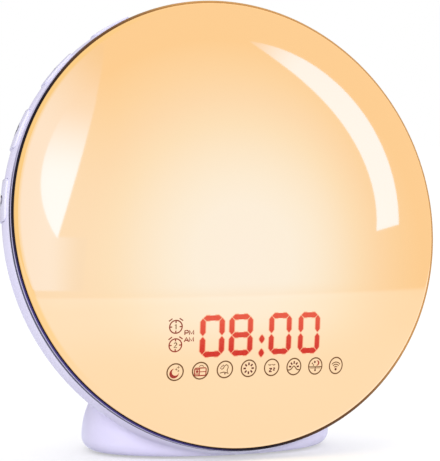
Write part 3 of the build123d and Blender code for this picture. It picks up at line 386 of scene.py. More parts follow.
def clear_guide(name, colour):
    """Tinted light guide: glossy, slightly glowing plastic with faint flow lines."""
    n = Nodes(name)
    tint = n.ramp(n.noise(120.0, 2.0), [(0.3, scaled(colour, 0.6)), (0.7, colour)])
    n.set(Base_Color=tint, Emission_Color=tint, Emission_Strength=0.4, Roughness=0.1)
    return n.material


FINISHES = {
    "shell": moulded_plastic("lavender_shell", (226, 222, 246), (219, 214, 242), 0.33, 1100.0, 0.06),
    "button": moulded_plastic("lavender_button", (222, 219, 240), (213, 210, 235), 0.3, 900.0, 0.06),
    "diffuser": glowing_diffuser(),
    "trim": lacquer_with_painted_reflections(),
    "white_plastic": moulded_plastic("white_plastic", (240, 240, 236), (228, 228, 222), 0.45),
    "black_plastic": moulded_plastic("black_plastic", (30, 30, 32), (20, 20, 23), 0.42, 700.0, 0.25),
    "guide_red": clear_guide("red_guide", linear(214, 60, 44)),
    "guide_amber": clear_guide("amber_guide", linear(150, 88, 40)),
    "board": circuit_board("green_board", linear(18, 84, 48), linear(120, 150, 80)),
    "light_board_white": circuit_board("white_board", linear(238, 238, 230), linear(205, 205, 190)),
    "chip": moulded_plastic("chip_black", (34, 34, 37), (26, 26, 29), 0.5, 1300.0, 0.2),
    "led": light_chip(),
    "steel": brushed_metal("plated_steel", linear(196, 196, 200)),
    "magnet": brushed_metal("magnet_steel", linear(120, 120, 126), 0.4),
    "can": brushed_metal("tinned_can", linear(205, 206, 208), 0.25),
    "brass": brushed_metal("brass_contact", linear(214, 178, 104), 0.24),
    "paper": rubbery("cone_paper", linear(34, 33, 34), 0.8, 500.0),
    "foam": rubbery("foam_roll", linear(26, 26, 27), 0.85, 1200.0),
    "rubber": rubbery("foot_rubber", linear(52, 52, 55), 0.7, 600.0),
    "cable": moulded_plastic("wire_red", (176, 32, 28), (150, 26, 24), 0.4),
    "ribbon": moulded_plastic("ribbon_grey", (214, 214, 214), (190, 190, 196), 0.45),
}
SLOTS = {part["node"]: part["material_slot"] for part in frame["record"]["subparts"]}


def finish_frame_nodes():
    """Give every node that stays the finish of its slot."""
    for node, obj in frame["nodes"].items():
        obj.data.materials.clear()
        obj.data.materials.append(FINISHES[SLOTS[node]])


# -------- meshes

def to_world(points):
    """Places right, up and out of the face, in the model's frame: middle + x right + y up + z out."""
    turn = np.array(FACE_TURN)
    return points @ turn.T + np.array(FACE_MIDDLE)


def placed(name, data):
    """New object of a mesh, lamp or camera, linked to the scene."""
    obj = bpy.data.objects.new(name, data)
    bpy.context.scene.collection.objects.link(obj)
    return obj


def sheet_mesh(name, points, faces):
    """Mesh of a grid's points and faces."""
    mesh = bpy.data.meshes.new(name)
    mesh.from_pydata(np.reshape(points, (-1, 3)).tolist(), [], np.asarray(faces).tolist())
    return mesh


def piece(name, points, faces, body, slot, finish=None):
    """Smooth mesh object riding on a body, in a finish of its own or that of its record slot."""
    mesh = sheet_mesh(name, points, faces)
    mesh.polygons.foreach_set("use_smooth", np.full(len(mesh.polygons), True))
    mesh.update()
    obj = placed(name, mesh)
    mesh.materials.append(finish or FINISHES[slot])
    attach(obj, body)
    return obj


def grid_faces(rows, columns, wrap_rows=False, wrap_columns=False, start=0):
    """Four-cornered faces of a grid of rows by columns, closed round either way where asked."""
    row = np.arange(rows if wrap_rows else rows - 1)
    column = np.arange(columns if wrap_columns else columns - 1)
    i, j = np.meshgrid(row, column, indexing="ij")
    down, over = (i + 1) % rows, (j + 1) % columns
    corners = [i * columns + j, down * columns + j, down * columns + over, i * columns + over]
    return np.stack(corners, axis=-1).reshape(-1, 4) + start


def facing(points, faces, middle):
    """Faces turned so that each looks away from a middle point.

    A face's normal is the cross product of its diagonals; where it points back towards the
    middle, the corners are taken in the opposite order.
    """
    corners = points.reshape(-1, 3)[faces]
    normal = np.cross(corners[:, 2] - corners[:, 0], corners[:, 3] - corners[:, 1])
    inwards = (normal * (corners.mean(axis=1) - middle)).sum(axis=1) < 0
    return np.where(inwards[:, None], faces[:, ::-1], faces)


def merged(obj, closed=True, distance=1e-7):
    """Close seams and poles: points nearer than the distance become one."""
    work = bmesh.new()
    work.from_mesh(obj.data)
    bmesh.ops.remove_doubles(work, verts=work.verts, dist=distance)
    bmesh.ops.dissolve_degenerate(work, edges=work.edges, dist=distance)
    if closed:
        bmesh.ops.recalc_face_normals(work, faces=work.faces)
    work.to_mesh(obj.data)
    work.free()
    return obj


def turned(name, outline, body, slot, steps=288, crease=35.0):
    """Outline of radius and height carried round the face's axis: point = (r cos a, r sin a, h)."""
    angle = np.linspace(0, 2 * np.pi, steps, endpoint=False)
    radius, height = outline[:, 0], outline[:, 1]
    x = np.cos(angle)[:, None] * radius
    y = np.sin(angle)[:, None] * radius
    z = np.broadcast_to(height, x.shape)
    points = to_world(np.stack([x, y, z], axis=-1))
    obj = merged(piece(name, points, grid_faces(steps, len(outline), True, True), body, slot))
    obj.data.set_sharp_from_angle(angle=math.radians(crease))
    return obj


def softened(node, body, crease=32.0, weld=0.002 * MM):
    """Copy of a CAD node with its corners joined and its curved faces shaded smooth, in the node's place."""
    mesh = frame["nodes"][node].data.copy()
    work = bmesh.new()
    work.from_mesh(mesh)
    bmesh.ops.remove_doubles(work, verts=work.verts, dist=weld)
    work.to_mesh(mesh)
    work.free()
    mesh.polygons.foreach_set("use_smooth", np.full(len(mesh.polygons), True))
    mesh.set_sharp_from_angle(angle=math.radians(crease))
    mesh.materials.clear()
    mesh.materials.append(FINISHES[SLOTS[node]])
    obj = placed(node + "_skin", mesh)
    weights = obj.modifiers.new("weights", "WEIGHTED_NORMAL")
    weights.keep_sharp = True
    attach(obj, body)
    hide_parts(node)
    return obj


# -------- front

def arc(middle, radius, start, end, count):
    """Points on a circle from one angle to another: middle + radius (cos a, sin a)."""
    a = np.linspace(start, end, count)
    return np.stack([middle[0] + radius * np.cos(a), middle[1] + radius * np.sin(a)], axis=-1)


def dome():
    """Cap of a ball, a rounded edge tangent to it and to the straight rim, then a skirt and the hollow side.

    The rounding's middle lies EDGE_ROUND inside both the ball and the rim, so its distance from
    the ball's middle is BALL - EDGE_ROUND.
    """
    round_out = DOME_RADIUS - EDGE_ROUND
    round_height = BALL_MIDDLE + math.sqrt((BALL - EDGE_ROUND) ** 2 - round_out**2)
    turn = math.atan2(round_height - BALL_MIDDLE, round_out)
    skirt = DOME_RADIUS - SKIRT_INSET
    inner = skirt - DOME_WALL
    hollow = BALL - DOME_WALL
    outline = np.concatenate([
        arc((0, BALL_MIDDLE), BALL, math.pi / 2, turn, 110),
        arc((round_out, round_height), EDGE_ROUND, turn, 0.0, 16)[1:],
        [(DOME_RADIUS, 0.0), (skirt, 0.0), (skirt, -SKIRT_DEPTH), (inner, -SKIRT_DEPTH)],
        arc((0, BALL_MIDDLE), hollow, math.acos(inner / hollow), math.pi / 2, 60),
    ])
    obj = turned("glowing_dome", outline, "body", "diffuser")
    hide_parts("front_diffuser")


def ring():
    """Trim ring: a front with rounded corners and a channel along its middle, then sides and rear tongue.

    The front falls off at its corners with the square of the nearness to them, over a quarter of
    its width, and its channel is a bell curve: depth x exp(-(offset / half-width)^2).
    """
    along = np.linspace(RING_INNER, RING_RADIUS, 41)[1:-1]
    ridge = (RING_RADIUS - RING_INNER) / 4
    from_corner = np.minimum(along - RING_INNER, RING_RADIUS - along) / ridge
    corners = 0.5 * RING_CHANNEL * (1 - np.clip(from_corner, 0, 1)) ** 2
    offset = along - (RING_INNER + RING_RADIUS) / 2
    channel = RING_CHANNEL * np.exp(-((offset / RING_CHANNEL_HALF) ** 2))
    outline = np.concatenate([
        np.stack([along, -corners - channel], axis=-1),
        [(RING_RADIUS, -RING_OUTER_CORNER), (RING_RADIUS, -RING_DEPTH), (RING_TONGUE, -RING_DEPTH)],
        [(RING_TONGUE, -RING_BACK), (RING_INNER, -RING_BACK), (RING_INNER, -RING_INNER_CORNER)],
    ])
    obj = turned("trim_ring_fine", outline, "body", "trim", crease=50.0)
    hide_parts("trim_ring")


# -------- shapes of the marks

class Marks:
    """Flat shapes, drawn in millimetres, that are laid on a surface as one piece."""

    def __init__(self):
        self.points = []
        self.faces = []
        self.count = 0

    def grid(self, flat, closed=False):
        """Add rows of flat places, given in metres; closed joins the last row to the first."""
        rows, columns = flat.shape[:2]
        self.points.append(flat.reshape(-1, 2))
        self.faces.append(grid_faces(rows, columns, closed, False, self.count))
        self.count += rows * columns

    def stroke(self, path, width, closed=False):
        """Ribbon of even width along a path: each side is the path moved along its normal."""
        path = np.asarray(path, dtype=float) * MM
        ahead = np.roll(path, -1, axis=0) - np.roll(path, 1, axis=0)
        if not closed:
            ahead[0] = path[1] - path[0]
            ahead[-1] = path[-1] - path[-2]
        ahead /= np.linalg.norm(ahead, axis=1)[:, None]
        side = np.stack([-ahead[:, 1], ahead[:, 0]], axis=-1) * width * MM / 2
        self.grid(np.stack([path + side, path - side], axis=1), closed)

    def ring(self, x, y, radius, width, count, start=0.0, end=360.0):
        """Ribbon round a circle, or round the part of it between two angles: (r cos a, r sin a)."""
        closed = end - start >= 360.0
        a = np.radians(np.linspace(start, end, count))[:count - closed]
        self.stroke(np.stack([x + radius * np.cos(a), y + radius * np.sin(a)], axis=-1), width, closed)

    def fan(self, x, y, edge):
        """Filled outline: each point of the edge is joined to the middle."""
        middle = np.broadcast_to(np.array([x, y]), edge.shape)
        self.grid(np.stack([edge, middle], axis=1) * MM, True)

    def disc(self, x, y, radius, count=24):
        """Filled circle: (r cos a, r sin a) round its middle."""
        a = np.linspace(0, 2 * np.pi, count, endpoint=False)
        self.fan(x, y, np.stack([x + radius * np.cos(a), y + radius * np.sin(a)], axis=-1))

    def lozenge(self, x, y, wide, tall, count=32, power=1.35):
        """Blunt diamond: |x / wide|^power + |y / tall|^power = 1."""
        a = np.linspace(0, 2 * np.pi, count, endpoint=False)
        c, s = np.cos(a), np.sin(a)
        size = (np.abs(c) ** power + np.abs(s) ** power) ** (-1 / power)
        self.fan(x, y, np.stack([x + wide * size * c, y + tall * size * s], axis=-1))

    def crescent(self, x, y, radius, opens, thick, gape, count=25):
        """Moon between two circles that meet in its tips, open towards an angle.

        With tips at radius (cos g, sin g), the inner circle has its middle at
        c = (radius^2 - k^2) / (2 (k + radius cos g)), where k = radius - thick.
        """
        g = math.radians(gape)
        tip = radius * math.cos(g), radius * math.sin(g)
        k = radius - thick
        c = (radius**2 - k**2) / (2 * (k + tip[0]))
        start = math.atan2(tip[1], tip[0] - c)
        outer = arc((0, 0), radius, g, 2 * np.pi - g, count)
        inner = arc((c, 0), k + c, start, 2 * np.pi - start, count)
        moon = np.stack([outer, inner], axis=1) @ spin(opens)
        self.grid((moon + np.array([x, y])) * MM)

    def lay(self, name, surface, height, body, slot, finish):
        """Lay the shapes on a surface as one piece that looks away from a point on the face's axis."""
        points = surface(np.concatenate(self.points))
        middle = to_world(np.array([0.0, 0.0, height]))
        faces = facing(points, np.concatenate(self.faces), middle)
        return merged(piece(name, points, faces, body, slot, finish), closed=False)


def spin(angle):
    """Matrix that turns flat rows of places anticlockwise by an angle in degrees."""
    c, s = math.cos(math.radians(angle)), math.sin(math.radians(angle))
    return np.array([[c, s], [-s, c]])


def on_dome(lift):
    """The dome's surface raised by a lift: height = middle + sqrt((ball + lift)^2 - x^2 - y^2)."""
    def surface(flat):
        x = flat[:, 0] + DISPLAY_SHIFT
        y = flat[:, 1]
        z = BALL_MIDDLE + np.sqrt((BALL + lift) ** 2 - x**2 - y**2)
        return to_world(np.stack([x, y, z], axis=-1))
    return surface


# -------- the lit time

SEGMENTS = {"0": "abcdef", "8": "abcdefg"}
POINT_PLACES = np.array([0.0, 0.55, 1.0])        # along a bar's point, as shares of its length
POINT_WIDTHS = np.array([0.18, 0.62, 1.0])       # and how wide the bar is there


def bar(length, wide):
    """Level bar with pointed ends: rows of two edges, y = +- half-width, from one tip to the other.

    Each point is half the bar's width long, and the half-width grows along it in straight steps.
    """
    from_middle = length / 2 - POINT_PLACES * wide / 2
    along = np.concatenate([-from_middle, from_middle[::-1]])
    across = np.concatenate([POINT_WIDTHS, POINT_WIDTHS[::-1]]) * wide / 2
    return np.stack([np.stack([along, across], axis=-1), np.stack([along, -across], axis=-1)], axis=1)


def digit_bars(place, character, margin):
    """Lit bars of one digit, each a pointed bar laid level or upright and widened by the margin."""
    wide = DIGIT_STROKE + 2 * margin
    across = DIGIT_WIDTH - DIGIT_STROKE
    rise = (DIGIT_HEIGHT - DIGIT_STROKE) / 2
    level = across - 2 * DIGIT_GAP + 2 * margin
    upright = rise - DIGIT_GAP - WAIST_GAP / 2 + 2 * margin
    shift = WAIST_GAP / 4 - DIGIT_GAP / 4
    spots = {
        "a": (0, rise, False), "g": (0, 0, False), "d": (0, -rise, False),
        "b": (across / 2, rise / 2 + shift, True), "c": (across / 2, -rise / 2 - shift, True),
        "f": (-across / 2, rise / 2 + shift, True), "e": (-across / 2, -rise / 2 - shift, True),
    }
    for letter in SEGMENTS[character]:
        x, y, stands = spots[letter]
        shape = bar(upright if stands else level, wide)
        if stands:
            shape = shape[..., ::-1]
        yield shape + np.array([place + x, DIGIT_ROW + y])


def time_marks(margin=0.0):
    """The four digits and the colon, all widened by the margin."""
    marks = Marks()
    for place, character in zip(DIGIT_PLACES, LIT_TIME):
        for flat in digit_bars(place, character, margin):
            marks.grid(flat)
    wide, tall = ((half + margin) / MM for half in COLON_HALVES)
    for drop in COLON_DROPS:
        marks.lozenge(COLON_PLACE / MM, (DIGIT_ROW - drop) / MM, wide, tall)
    return marks


# -------- icons
# Each is drawn in millimetres from its middle x, y with three sets of marks: the olive rings, the
# dark lines and the red ones.

def star(marks, x, y, size, width=0.2):
    """Four-pointed star: two crossed strokes."""
    for a, b in ((size, 0.0), (0.0, size)):
        marks.stroke([(x + a, y + b), (x - a, y - b)], width)


def ray(marks, x, y, angle, near, far, width):
    """Stroke along a ray from the middle: (x + r cos a, y + r sin a), r from near to far."""
    c, s = math.cos(math.radians(angle)), math.sin(math.radians(angle))
    marks.stroke([(x + near * c, y + near * s), (x + far * c, y + far * s)], width)


def zed(marks, x, y, size, width):
    """Letter Z: two level strokes and the slanting one between them."""
    half = size / 2
    marks.stroke([(x - half, y + half), (x + half, y + half)], width)
    marks.stroke([(x + half, y + half), (x - half, y - half)], width)
    marks.stroke([(x - half, y - half), (x + half, y - half)], width)


def moon_icon(rings, dark, red, x, y):
    """Crescent moon with three stars."""
    red.crescent(x - 0.35, y - 0.5, 1.75, 48.0, 1.15, 42.0)
    for a, b, size in ((0.35, 0.95, 0.42), (1.1, 1.65, 0.5), (1.15, 0.35, 0.38)):
        star(rings, x + a, y + b, size)


def radio_icon(rings, dark, red, x, y):
    """Radio: a box with cut corners, its panes and knob, and a handle."""
    box = [(-1.85, -1.75), (1.85, -1.75), (2.15, -1.45), (2.15, 0.65), (1.85, 0.95), (-1.85, 0.95),
           (-2.15, 0.65), (-2.15, -1.45), (-1.85, -1.75)]
    red.stroke([(x + a, y + b) for a, b in box], 0.42)
    red.stroke([(x - 0.35, y + 0.9), (x - 0.35, y - 1.7)], 0.4)
    red.stroke([(x - 0.2, y - 0.4), (x + 2.0, y - 0.4)], 0.3)
    red.disc(x - 1.2, y - 0.3, 0.5)
    red.stroke([(x - 1.9, y + 0.45), (x - 0.6, y + 0.45)], 0.36)
    red.stroke([(x - 1.9, y - 1.15), (x - 0.6, y - 1.15)], 0.36)
    rings.ring(x + 0.3, y + 0.9, 1.0, 0.26, 13, 30.0, 150.0)


def bell_icon(rings, dark, red, x, y):
    """Leaning bell over its rim, with three points at its side and a clapper."""
    bell = np.array([(-1.35, -0.95), (-0.85, -0.35), (-0.8, 0.6), (-0.35, 1.3), (0.35, 1.3), (0.8, 0.6),
                     (0.85, -0.35), (1.35, -0.95)])
    rings.stroke(bell @ spin(-24.0) + np.array([x + 0.25, y + 0.35]), 0.34)
    rings.stroke([(x - 1.9, y - 1.25), (x - 0.4, y - 0.95), (x + 0.7, y - 1.2), (x + 1.5, y - 1.5)], 0.34)
    for a, b in ((-1.65, 0.55), (-1.25, 1.1), (-0.75, 1.5)):
        dark.disc(x + a, y + b, 0.24)
    dark.disc(x + 0.1, y - 1.55, 0.28)


def sun_icon(rings, dark, red, x, y):
    """Eight rays."""
    for step in range(8):
        ray(dark, x, y, 45.0 * step, 1.1, 2.1, 0.62)


def snooze_icon(rings, dark, red, x, y):
    """Two letters Z under two closed eyes."""
    zed(dark, x - 0.45, y - 0.95, 1.15, 0.42)
    zed(dark, x + 1.0, y - 0.65, 0.8, 0.34)
    for side in (-1, 1):
        rings.ring(x + side * 0.8, y + 1.55, 0.72, 0.34, 11, 215.0, 325.0)


def sunrise_icon(rings, dark, red, x, y):
    """Five rays over a horizon with a hump: height = 1.4 exp(-(across / 0.95)^2)."""
    for step in range(-2, 3):
        ray(dark, x, y - 0.15, 90.0 + 42.0 * step, 1.15, 2.15, 0.62)
    across = np.linspace(-2.75, 2.75, 25)
    hump = 1.4 * np.exp(-((across / 0.95) ** 2))
    rings.stroke(np.stack([x + across, y - 1.2 + hump], axis=-1), 0.42)


def sunset_icon(rings, dark, red, x, y):
    """Moon and stars over a lamp: a level shade, its underside, the stem and the knob."""
    red.crescent(x + 0.75, y + 1.05, 0.95, 180.0, 0.62, 55.0)
    dark.lozenge(x - 0.35, y + 1.45, 0.42, 0.5)
    for a, b in ((-1.4, 0.95), (-0.85, 0.35)):
        rings.disc(x + a, y + b, 0.3)
    rings.stroke([(x - 2.8, y - 0.3), (x + 2.8, y - 0.3)], 0.36)
    rings.stroke([(x - 2.2, y - 0.75), (x + 2.2, y - 0.75)], 0.22)
    rings.stroke([(x, y - 0.4), (x, y - 1.9)], 0.32)
    dark.disc(x, y - 1.55, 0.38)


def waves_icon(rings, dark, red, x, y):
    """Three sound waves over their source."""
    for size in (0.95, 1.75, 2.55):
        rings.ring(x, y - 1.3, size, 0.36, 17, 42.0, 138.0)
    dark.disc(x, y - 1.35, 0.48)


def alarm(rings, dark, red, x, y, numeral):
    """Small alarm clock: dial ring, two bells, four ticks and its number."""
    red.ring(x, y, 2.3, 0.46, 41)
    for side in (-1, 1):
        red.stroke([(x + side * 1.3, y + 3.0), (x + side * 2.6, y + 2.1)], 0.42)
    for angle in (0, 90, 180, 270):
        ray(red, x, y, angle, 1.35, 2.2, 0.46)
    if numeral == "1":
        rings.stroke([(x - 0.35, y + 0.5), (x + 0.05, y + 0.9), (x + 0.05, y - 0.9)], 0.38)
    else:
        a = np.radians(np.linspace(160, -40, 13))
        top = np.stack([x + 0.5 * np.cos(a), y + 0.42 + 0.46 * np.sin(a)], axis=-1)
        rings.stroke(np.concatenate([top, [(x - 0.5, y - 0.85), (x + 0.6, y - 0.85)]]), 0.36)


ICONS = (moon_icon, radio_icon, bell_icon, sun_icon, snooze_icon, sunrise_icon, sunset_icon, waves_icon)


def icon_marks():
    """The eight round icons with their rims, and the two small alarm clocks."""
    rings, dark, red = Marks(), Marks(), Marks()
    rim = ICON_RIM / MM
    first = ICON_SHIFT - (len(ICONS) - 1) / 2 * ICON_PITCH
    places = [(first + step * ICON_PITCH) / MM for step in range(len(ICONS))]
    for x in places:
        rings.ring(x, ICON_ROW / MM, ICON_RADIUS / MM - rim / 2, rim, 49)
    for x, icon in zip(places, ICONS):
        icon(rings, dark, red, x, ICON_ROW / MM)
    for row, numeral in zip(ALARM_ROWS, "12"):
        alarm(rings, dark, red, ALARM_PLACE / MM, row / MM, numeral)
    return rings, dark, red


# Strokes of the capital letters, in a square of one by one round the letter's middle.
LETTERS = {
    "P": [[(-0.4, -0.5), (-0.4, 0.5), (0.2, 0.5), (0.4, 0.38), (0.4, 0.06), (0.2, -0.06), (-0.4, -0.06)]],
    "M": [[(-0.5, -0.5), (-0.5, 0.5), (0.0, -0.35), (0.5, 0.5), (0.5, -0.5)]],
    "A": [[(-0.5, -0.5), (0.0, 0.5), (0.5, -0.5)], [(-0.28, -0.14), (0.28, -0.14)]],
}
LETTER_PITCH = 1.2                   # from letter to letter, as a share of their height


def lettering(marks, text, x, y, tall, width):
    """Capital letters drawn as strokes, set evenly about a middle."""
    for step, letter in enumerate(text):
        middle = x + (step - (len(text) - 1) / 2) * LETTER_PITCH * tall
        for path in LETTERS[letter]:
            marks.stroke([(middle + a * tall, y + b * tall) for a, b in path], width)


def display():
    """Lit digits over their soft edge, then the printed rings, letters and lines in three inks."""
    digits = DIGIT_ROW + DIGIT_HEIGHT / 2, DIGIT_ROW - DIGIT_HEIGHT / 2
    icons = ALARM_ROWS[0] + ALARM_HALF, ICON_ROW - ICON_RADIUS
    red_lit = lit_mark("lit_red", linear(230, 78, 54), linear(208, 18, 0), *digits)
    halo = lit_mark("lit_halo", linear(248, 190, 152), linear(246, 170, 130), *digits)
    olive = lit_mark("printed_olive", linear(112, 76, 28), linear(100, 66, 20), *icons)
    dark_red = lit_mark("printed_dark_red", linear(96, 18, 4), linear(84, 8, 0), *icons)
    red_print = lit_mark("printed_red", linear(134, 44, 22), linear(160, 22, 8), *icons)
    rings, dark, red = icon_marks()
    for text, row in zip(("PM", "AM"), PERIOD_ROWS):
        lettering(red, text, PERIOD_PLACE / MM, row / MM, PERIOD_HEIGHT / MM, PERIOD_STROKE / MM)
    for marks, name, slot, lift, finish in (
        (time_marks(GLOW_MARGIN), "digit_glow", "guide_red", GLOW_LIFT, halo),
        (time_marks(), "lit_digits", "guide_red", PRINT_LIFT, red_lit),
        (rings, "icon_rings", "guide_amber", PRINT_LIFT, olive),
        (dark, "icon_lines", "guide_amber", FINE_PRINT_LIFT, dark_red),
        (red, "icon_lit", "guide_red", LIT_PRINT_LIFT, red_print),
    ):
        marks.lay(name, on_dome(lift), BALL_MIDDLE, "body", slot, finish)


# -------- signs on the keys

def on_key(angle):
    """Top of the key at an angle round the band, raised by the sign's lift; places are along and back.

    The band's radius there is R sqrt(1 - ((depth - crest) / bowl)^2), and a place along it is
    turned from the key's angle by along / radius.
    """
    def surface(flat):
        depth = BUTTON_DEPTH + flat[:, 1]
        inside = np.clip((depth - CREST_DEPTH) / (BACK_DEPTH + BUTTON_RAISE), 0, 1)
        radius = (SHELL_RADIUS + BUTTON_RAISE) * np.sqrt(1 - inside**2) + SIGN_LIFT
        turn = math.radians(angle) + flat[:, 0] / radius
        return to_world(np.stack([radius * np.cos(turn), radius * np.sin(turn), -depth], axis=-1))
    return surface


def band(radius, width, start=0, end=360, count=33):
    """Part of a ring as rows of two edges: (radius -+ width / 2) (cos a, sin a)."""
    a = np.radians(np.linspace(start, end, count))
    circle = np.stack([np.cos(a), np.sin(a)], axis=-1)
    return np.stack([circle * (radius - width / 2), circle * (radius + width / 2)], axis=1) * MM


def strip(x0, y0, x1, y1, width, rows=4):
    """Straight strip as rows of two edges: the path from end to end, moved half a width to each side."""
    first, last = np.array([x0, y0], dtype=float), np.array([x1, y1], dtype=float)
    ahead = (last - first) / np.linalg.norm(last - first)
    side = np.array([-ahead[1], ahead[0]]) * width / 2
    path = first + (last - first) * np.linspace(0, 1, rows)[:, None]
    return np.stack([path + side, path - side], axis=1) * MM


def button_signs():
    """Signs from the lowest key up: power, lamp, plus and minus left; menu, clock, bell and sound right."""
    cross = [strip(-1.7, 0, 1.7, 0, 0.6), strip(0, -1.7, 0, 1.7, 0.6)]
    dash = [strip(-1.7, 0, 1.7, 0, 0.6)]
    power = [band(1.75, 0.75, 35, 325), strip(0.3, 0, 2.2, 0, 0.6)]
    lamp = [band(1.25, 0.9), strip(-2.6, 0, -1.6, 0, 0.6), strip(1.6, 0, 2.6, 0, 0.6)]
    sound = [strip(-1.5, -0.9, -1.5, 0.9, 0.9), band(0.8, 0.45, -50, 50, 9), band(1.8, 0.45, -50, 50, 13)]
    clock = [band(1.7, 0.5), strip(0, 0, 1.2, 0, 0.45), strip(0, 0, 0, -0.9, 0.45)]
    bell = [band(1.1, 0.5, -90, 90, 17), strip(-1.3, -1.7, -1.3, 1.7, 0.5),
            strip(-1.3, 1.2, 0.2, 1.1, 0.45), strip(-1.3, -1.2, 0.2, -1.1, 0.45)]
    menu = [strip(-1.7, level, 1.7, level, 0.45) for level in (-1.2, 0, 1.2)]
    return [power, lamp, cross, dash], [menu, clock, bell, sound]


def button_marks():
    """Generic printed signs, each riding on its key."""
    ink = moulded_plastic("printed_ink", (62, 60, 74), (48, 46, 60), 0.5)
    for number, signs in enumerate(zip(*button_signs())):
        angle = FIRST_BUTTON + BUTTON_PITCH * number
        for side, turn, shapes in zip(("left", "right"), (180 - angle, angle), signs):
            key = f"{side}_button_{number + 1}"
            marks = Marks()
            for flat in shapes:
                marks.grid(flat)
            marks.lay(key + "_sign", on_key(turn), -BUTTON_DEPTH, key, "black_plastic", ink)


# -------- camera, lamps and floor

CAMERA_PLACE = (-22.62, 2.64)        # azimuth and elevation from the face's middle, in degrees
CAMERA_DISTANCE = 1.0
CAMERA_CLIP = (0.05, 20.0)
SENSOR_WIDTH = 36.0
FRAME_HEIGHT = 461.0                 # height of the view, its focal length and its shift, in pixels
FOCAL_PIXELS = 2633.5
SHIFT_PIXELS = (8.9, 7.4)            # the face's middle lies right of and above the view's middle

FLOOR_HALF = 6.0                     # half the floor's width
FLOOR_GREYS = (0.58, 0.62)
FLOOR_LIFT = 0.42                    # brightness that the floor shows besides the light that falls on it
FLOOR_REACH = (1.0, 0.8)             # how far off it starts to show in glossy surfaces, and fully does
FLOOR_IN_GLOSS = (1.0, 1.05, 1.25, 1.0)
SKY_LIGHT = 1.0                      # the surroundings' brightness as they light the clock
SKY_IN_GLOSS = 0.35                  # as they show in its glossy surfaces
SKY_IN_VIEW = 1.0                    # and to the camera

# Soft panels: their sides across, as polynomials of the height from the highest power down.
COOL = (0.22, 0.60, 1.0, 1.0)        # tint of the panels, which lie over an amber glow
PANEL_ROWS = 40
RIGHT_PLACE = (72.4, 30.6)           # azimuth and elevation, in degrees
LEFT_PLACE = (-35.2, 28.1)
BLADE_FOOT = -0.435                  # height of the left blade's tip, in its panel
STRIP_SIDES = ((0.369, 0.058, -0.199), (-0.246, 0.22, 0.034, 0.066))
BLADE_SIDES = ((0.095, -0.170, -0.050), (0.266, -0.573, 0.061, 0.198))
HAZE_SIDES = ((0.095, -0.170, -0.050), (0.095, -0.170, 0.950))
LOW_SIDES = ((-0.2,), (1.1,))
HAZE_GLOW = (2.4, 0.4)


def grey(level):
    """Neutral colour of a brightness."""
    return (level, level, level, 1.0)


def direction(azimuth, elevation):
    """Unit vector away from the face: azimuth 0 is straight in front, positive to the right."""
    a, e = math.radians(azimuth), math.radians(elevation)
    return Vector((math.sin(a) * math.cos(e), -math.cos(a) * math.cos(e), math.sin(e)))


def place_camera():
    """Long lens a little to the left of the face and above its middle."""
    camera = bpy.data.cameras.new("camera")
    camera.sensor_width = SENSOR_WIDTH
    camera.lens = FOCAL_PIXELS / FRAME_HEIGHT * SENSOR_WIDTH
    camera.shift_x = -SHIFT_PIXELS[0] / FRAME_HEIGHT
    camera.shift_y = -SHIFT_PIXELS[1] / FRAME_HEIGHT
    camera.clip_start, camera.clip_end = CAMERA_CLIP
    obj = placed("camera", camera)
    back = direction(*CAMERA_PLACE)
    obj.location = FACE_MIDDLE + back * CAMERA_DISTANCE
    obj.rotation_euler = (-back).to_track_quat("-Z", "Y").to_euler()
    bpy.context.scene.camera = obj


def lamp(name, azimuth, elevation, distance, size, radiance):
    """Soft box facing the clock: power = radiance x pi x area."""
    data = bpy.data.lights.new(name, "AREA")
    data.shape = "RECTANGLE"
    data.size, data.size_y = size
    data.energy = radiance * math.pi * size[0] * size[1]
    obj = placed(name, data)
    toward = direction(azimuth, elevation)
    obj.location = FACE_MIDDLE + toward * distance
    obj.rotation_euler = toward.to_track_quat("Z", "Y").to_euler()
    obj.visible_glossy = False


def soft_panel(name, place, span, sides, glow, fade, distance=1.5, along="Y"):
    """Soft box of free outline that shows only in glossy surfaces.

    It stands square to the direction of its place and spans two heights v; its sides lie at the
    polynomials of v.  Its radiance goes from one end of glow to the other between the two places
    of fade, along one of its axes.
    """
    heights = np.linspace(*span, PANEL_ROWS)
    edges = [np.stack([np.polyval(side, heights), heights, 0 * heights], axis=-1) for side in sides]
    obj = placed(name, sheet_mesh(name, np.stack(edges, axis=1), grid_faces(PANEL_ROWS, 2)))
    toward = direction(*place)
    across = toward.cross(Vector((0, 0, 1))).normalized()
    turn = Matrix((across, across.cross(toward), -toward)).transposed().to_4x4()
    obj.matrix_world = Matrix.Translation(FACE_MIDDLE + toward * distance) @ turn
    n = Nodes(name)
    n.set(Base_Color=BLACK, Emission_Color=COOL, Specular_IOR_Level=0.0)
    spot = n.add("ShaderNodeSeparateXYZ", {"Vector": n.place}).outputs[along]
    n.set(Emission_Strength=n.span(spot, *fade, *glow))
    obj.data.materials.append(n.material)
    obj.visible_camera = False
    obj.visible_diffuse = False
    obj.visible_transmission = False
    obj.visible_shadow = False


def pale_world():
    """White to the camera, a softer white as light, and a dim room to glossy surfaces."""
    world = bpy.data.worlds.new("pale_world")
    world.use_nodes = True
    tree = world.node_tree
    background = tree.nodes["Background"]
    paths = tree.nodes.new("ShaderNodeLightPath")
    strength = SKY_LIGHT
    for output, level in (("Is Glossy Ray", SKY_IN_GLOSS), ("Is Camera Ray", SKY_IN_VIEW)):
        node = tree.nodes.new("ShaderNodeMapRange")
        feed(tree, node.inputs["Value"], paths.outputs[output])
        feed(tree, node.inputs["To Min"], strength)
        feed(tree, node.inputs["To Max"], level)
        strength = node.outputs[0]
    feed(tree, background.inputs["Strength"], strength)
    feed(tree, background.inputs["Color"], grey(1.0))
    bpy.context.scene.world = world


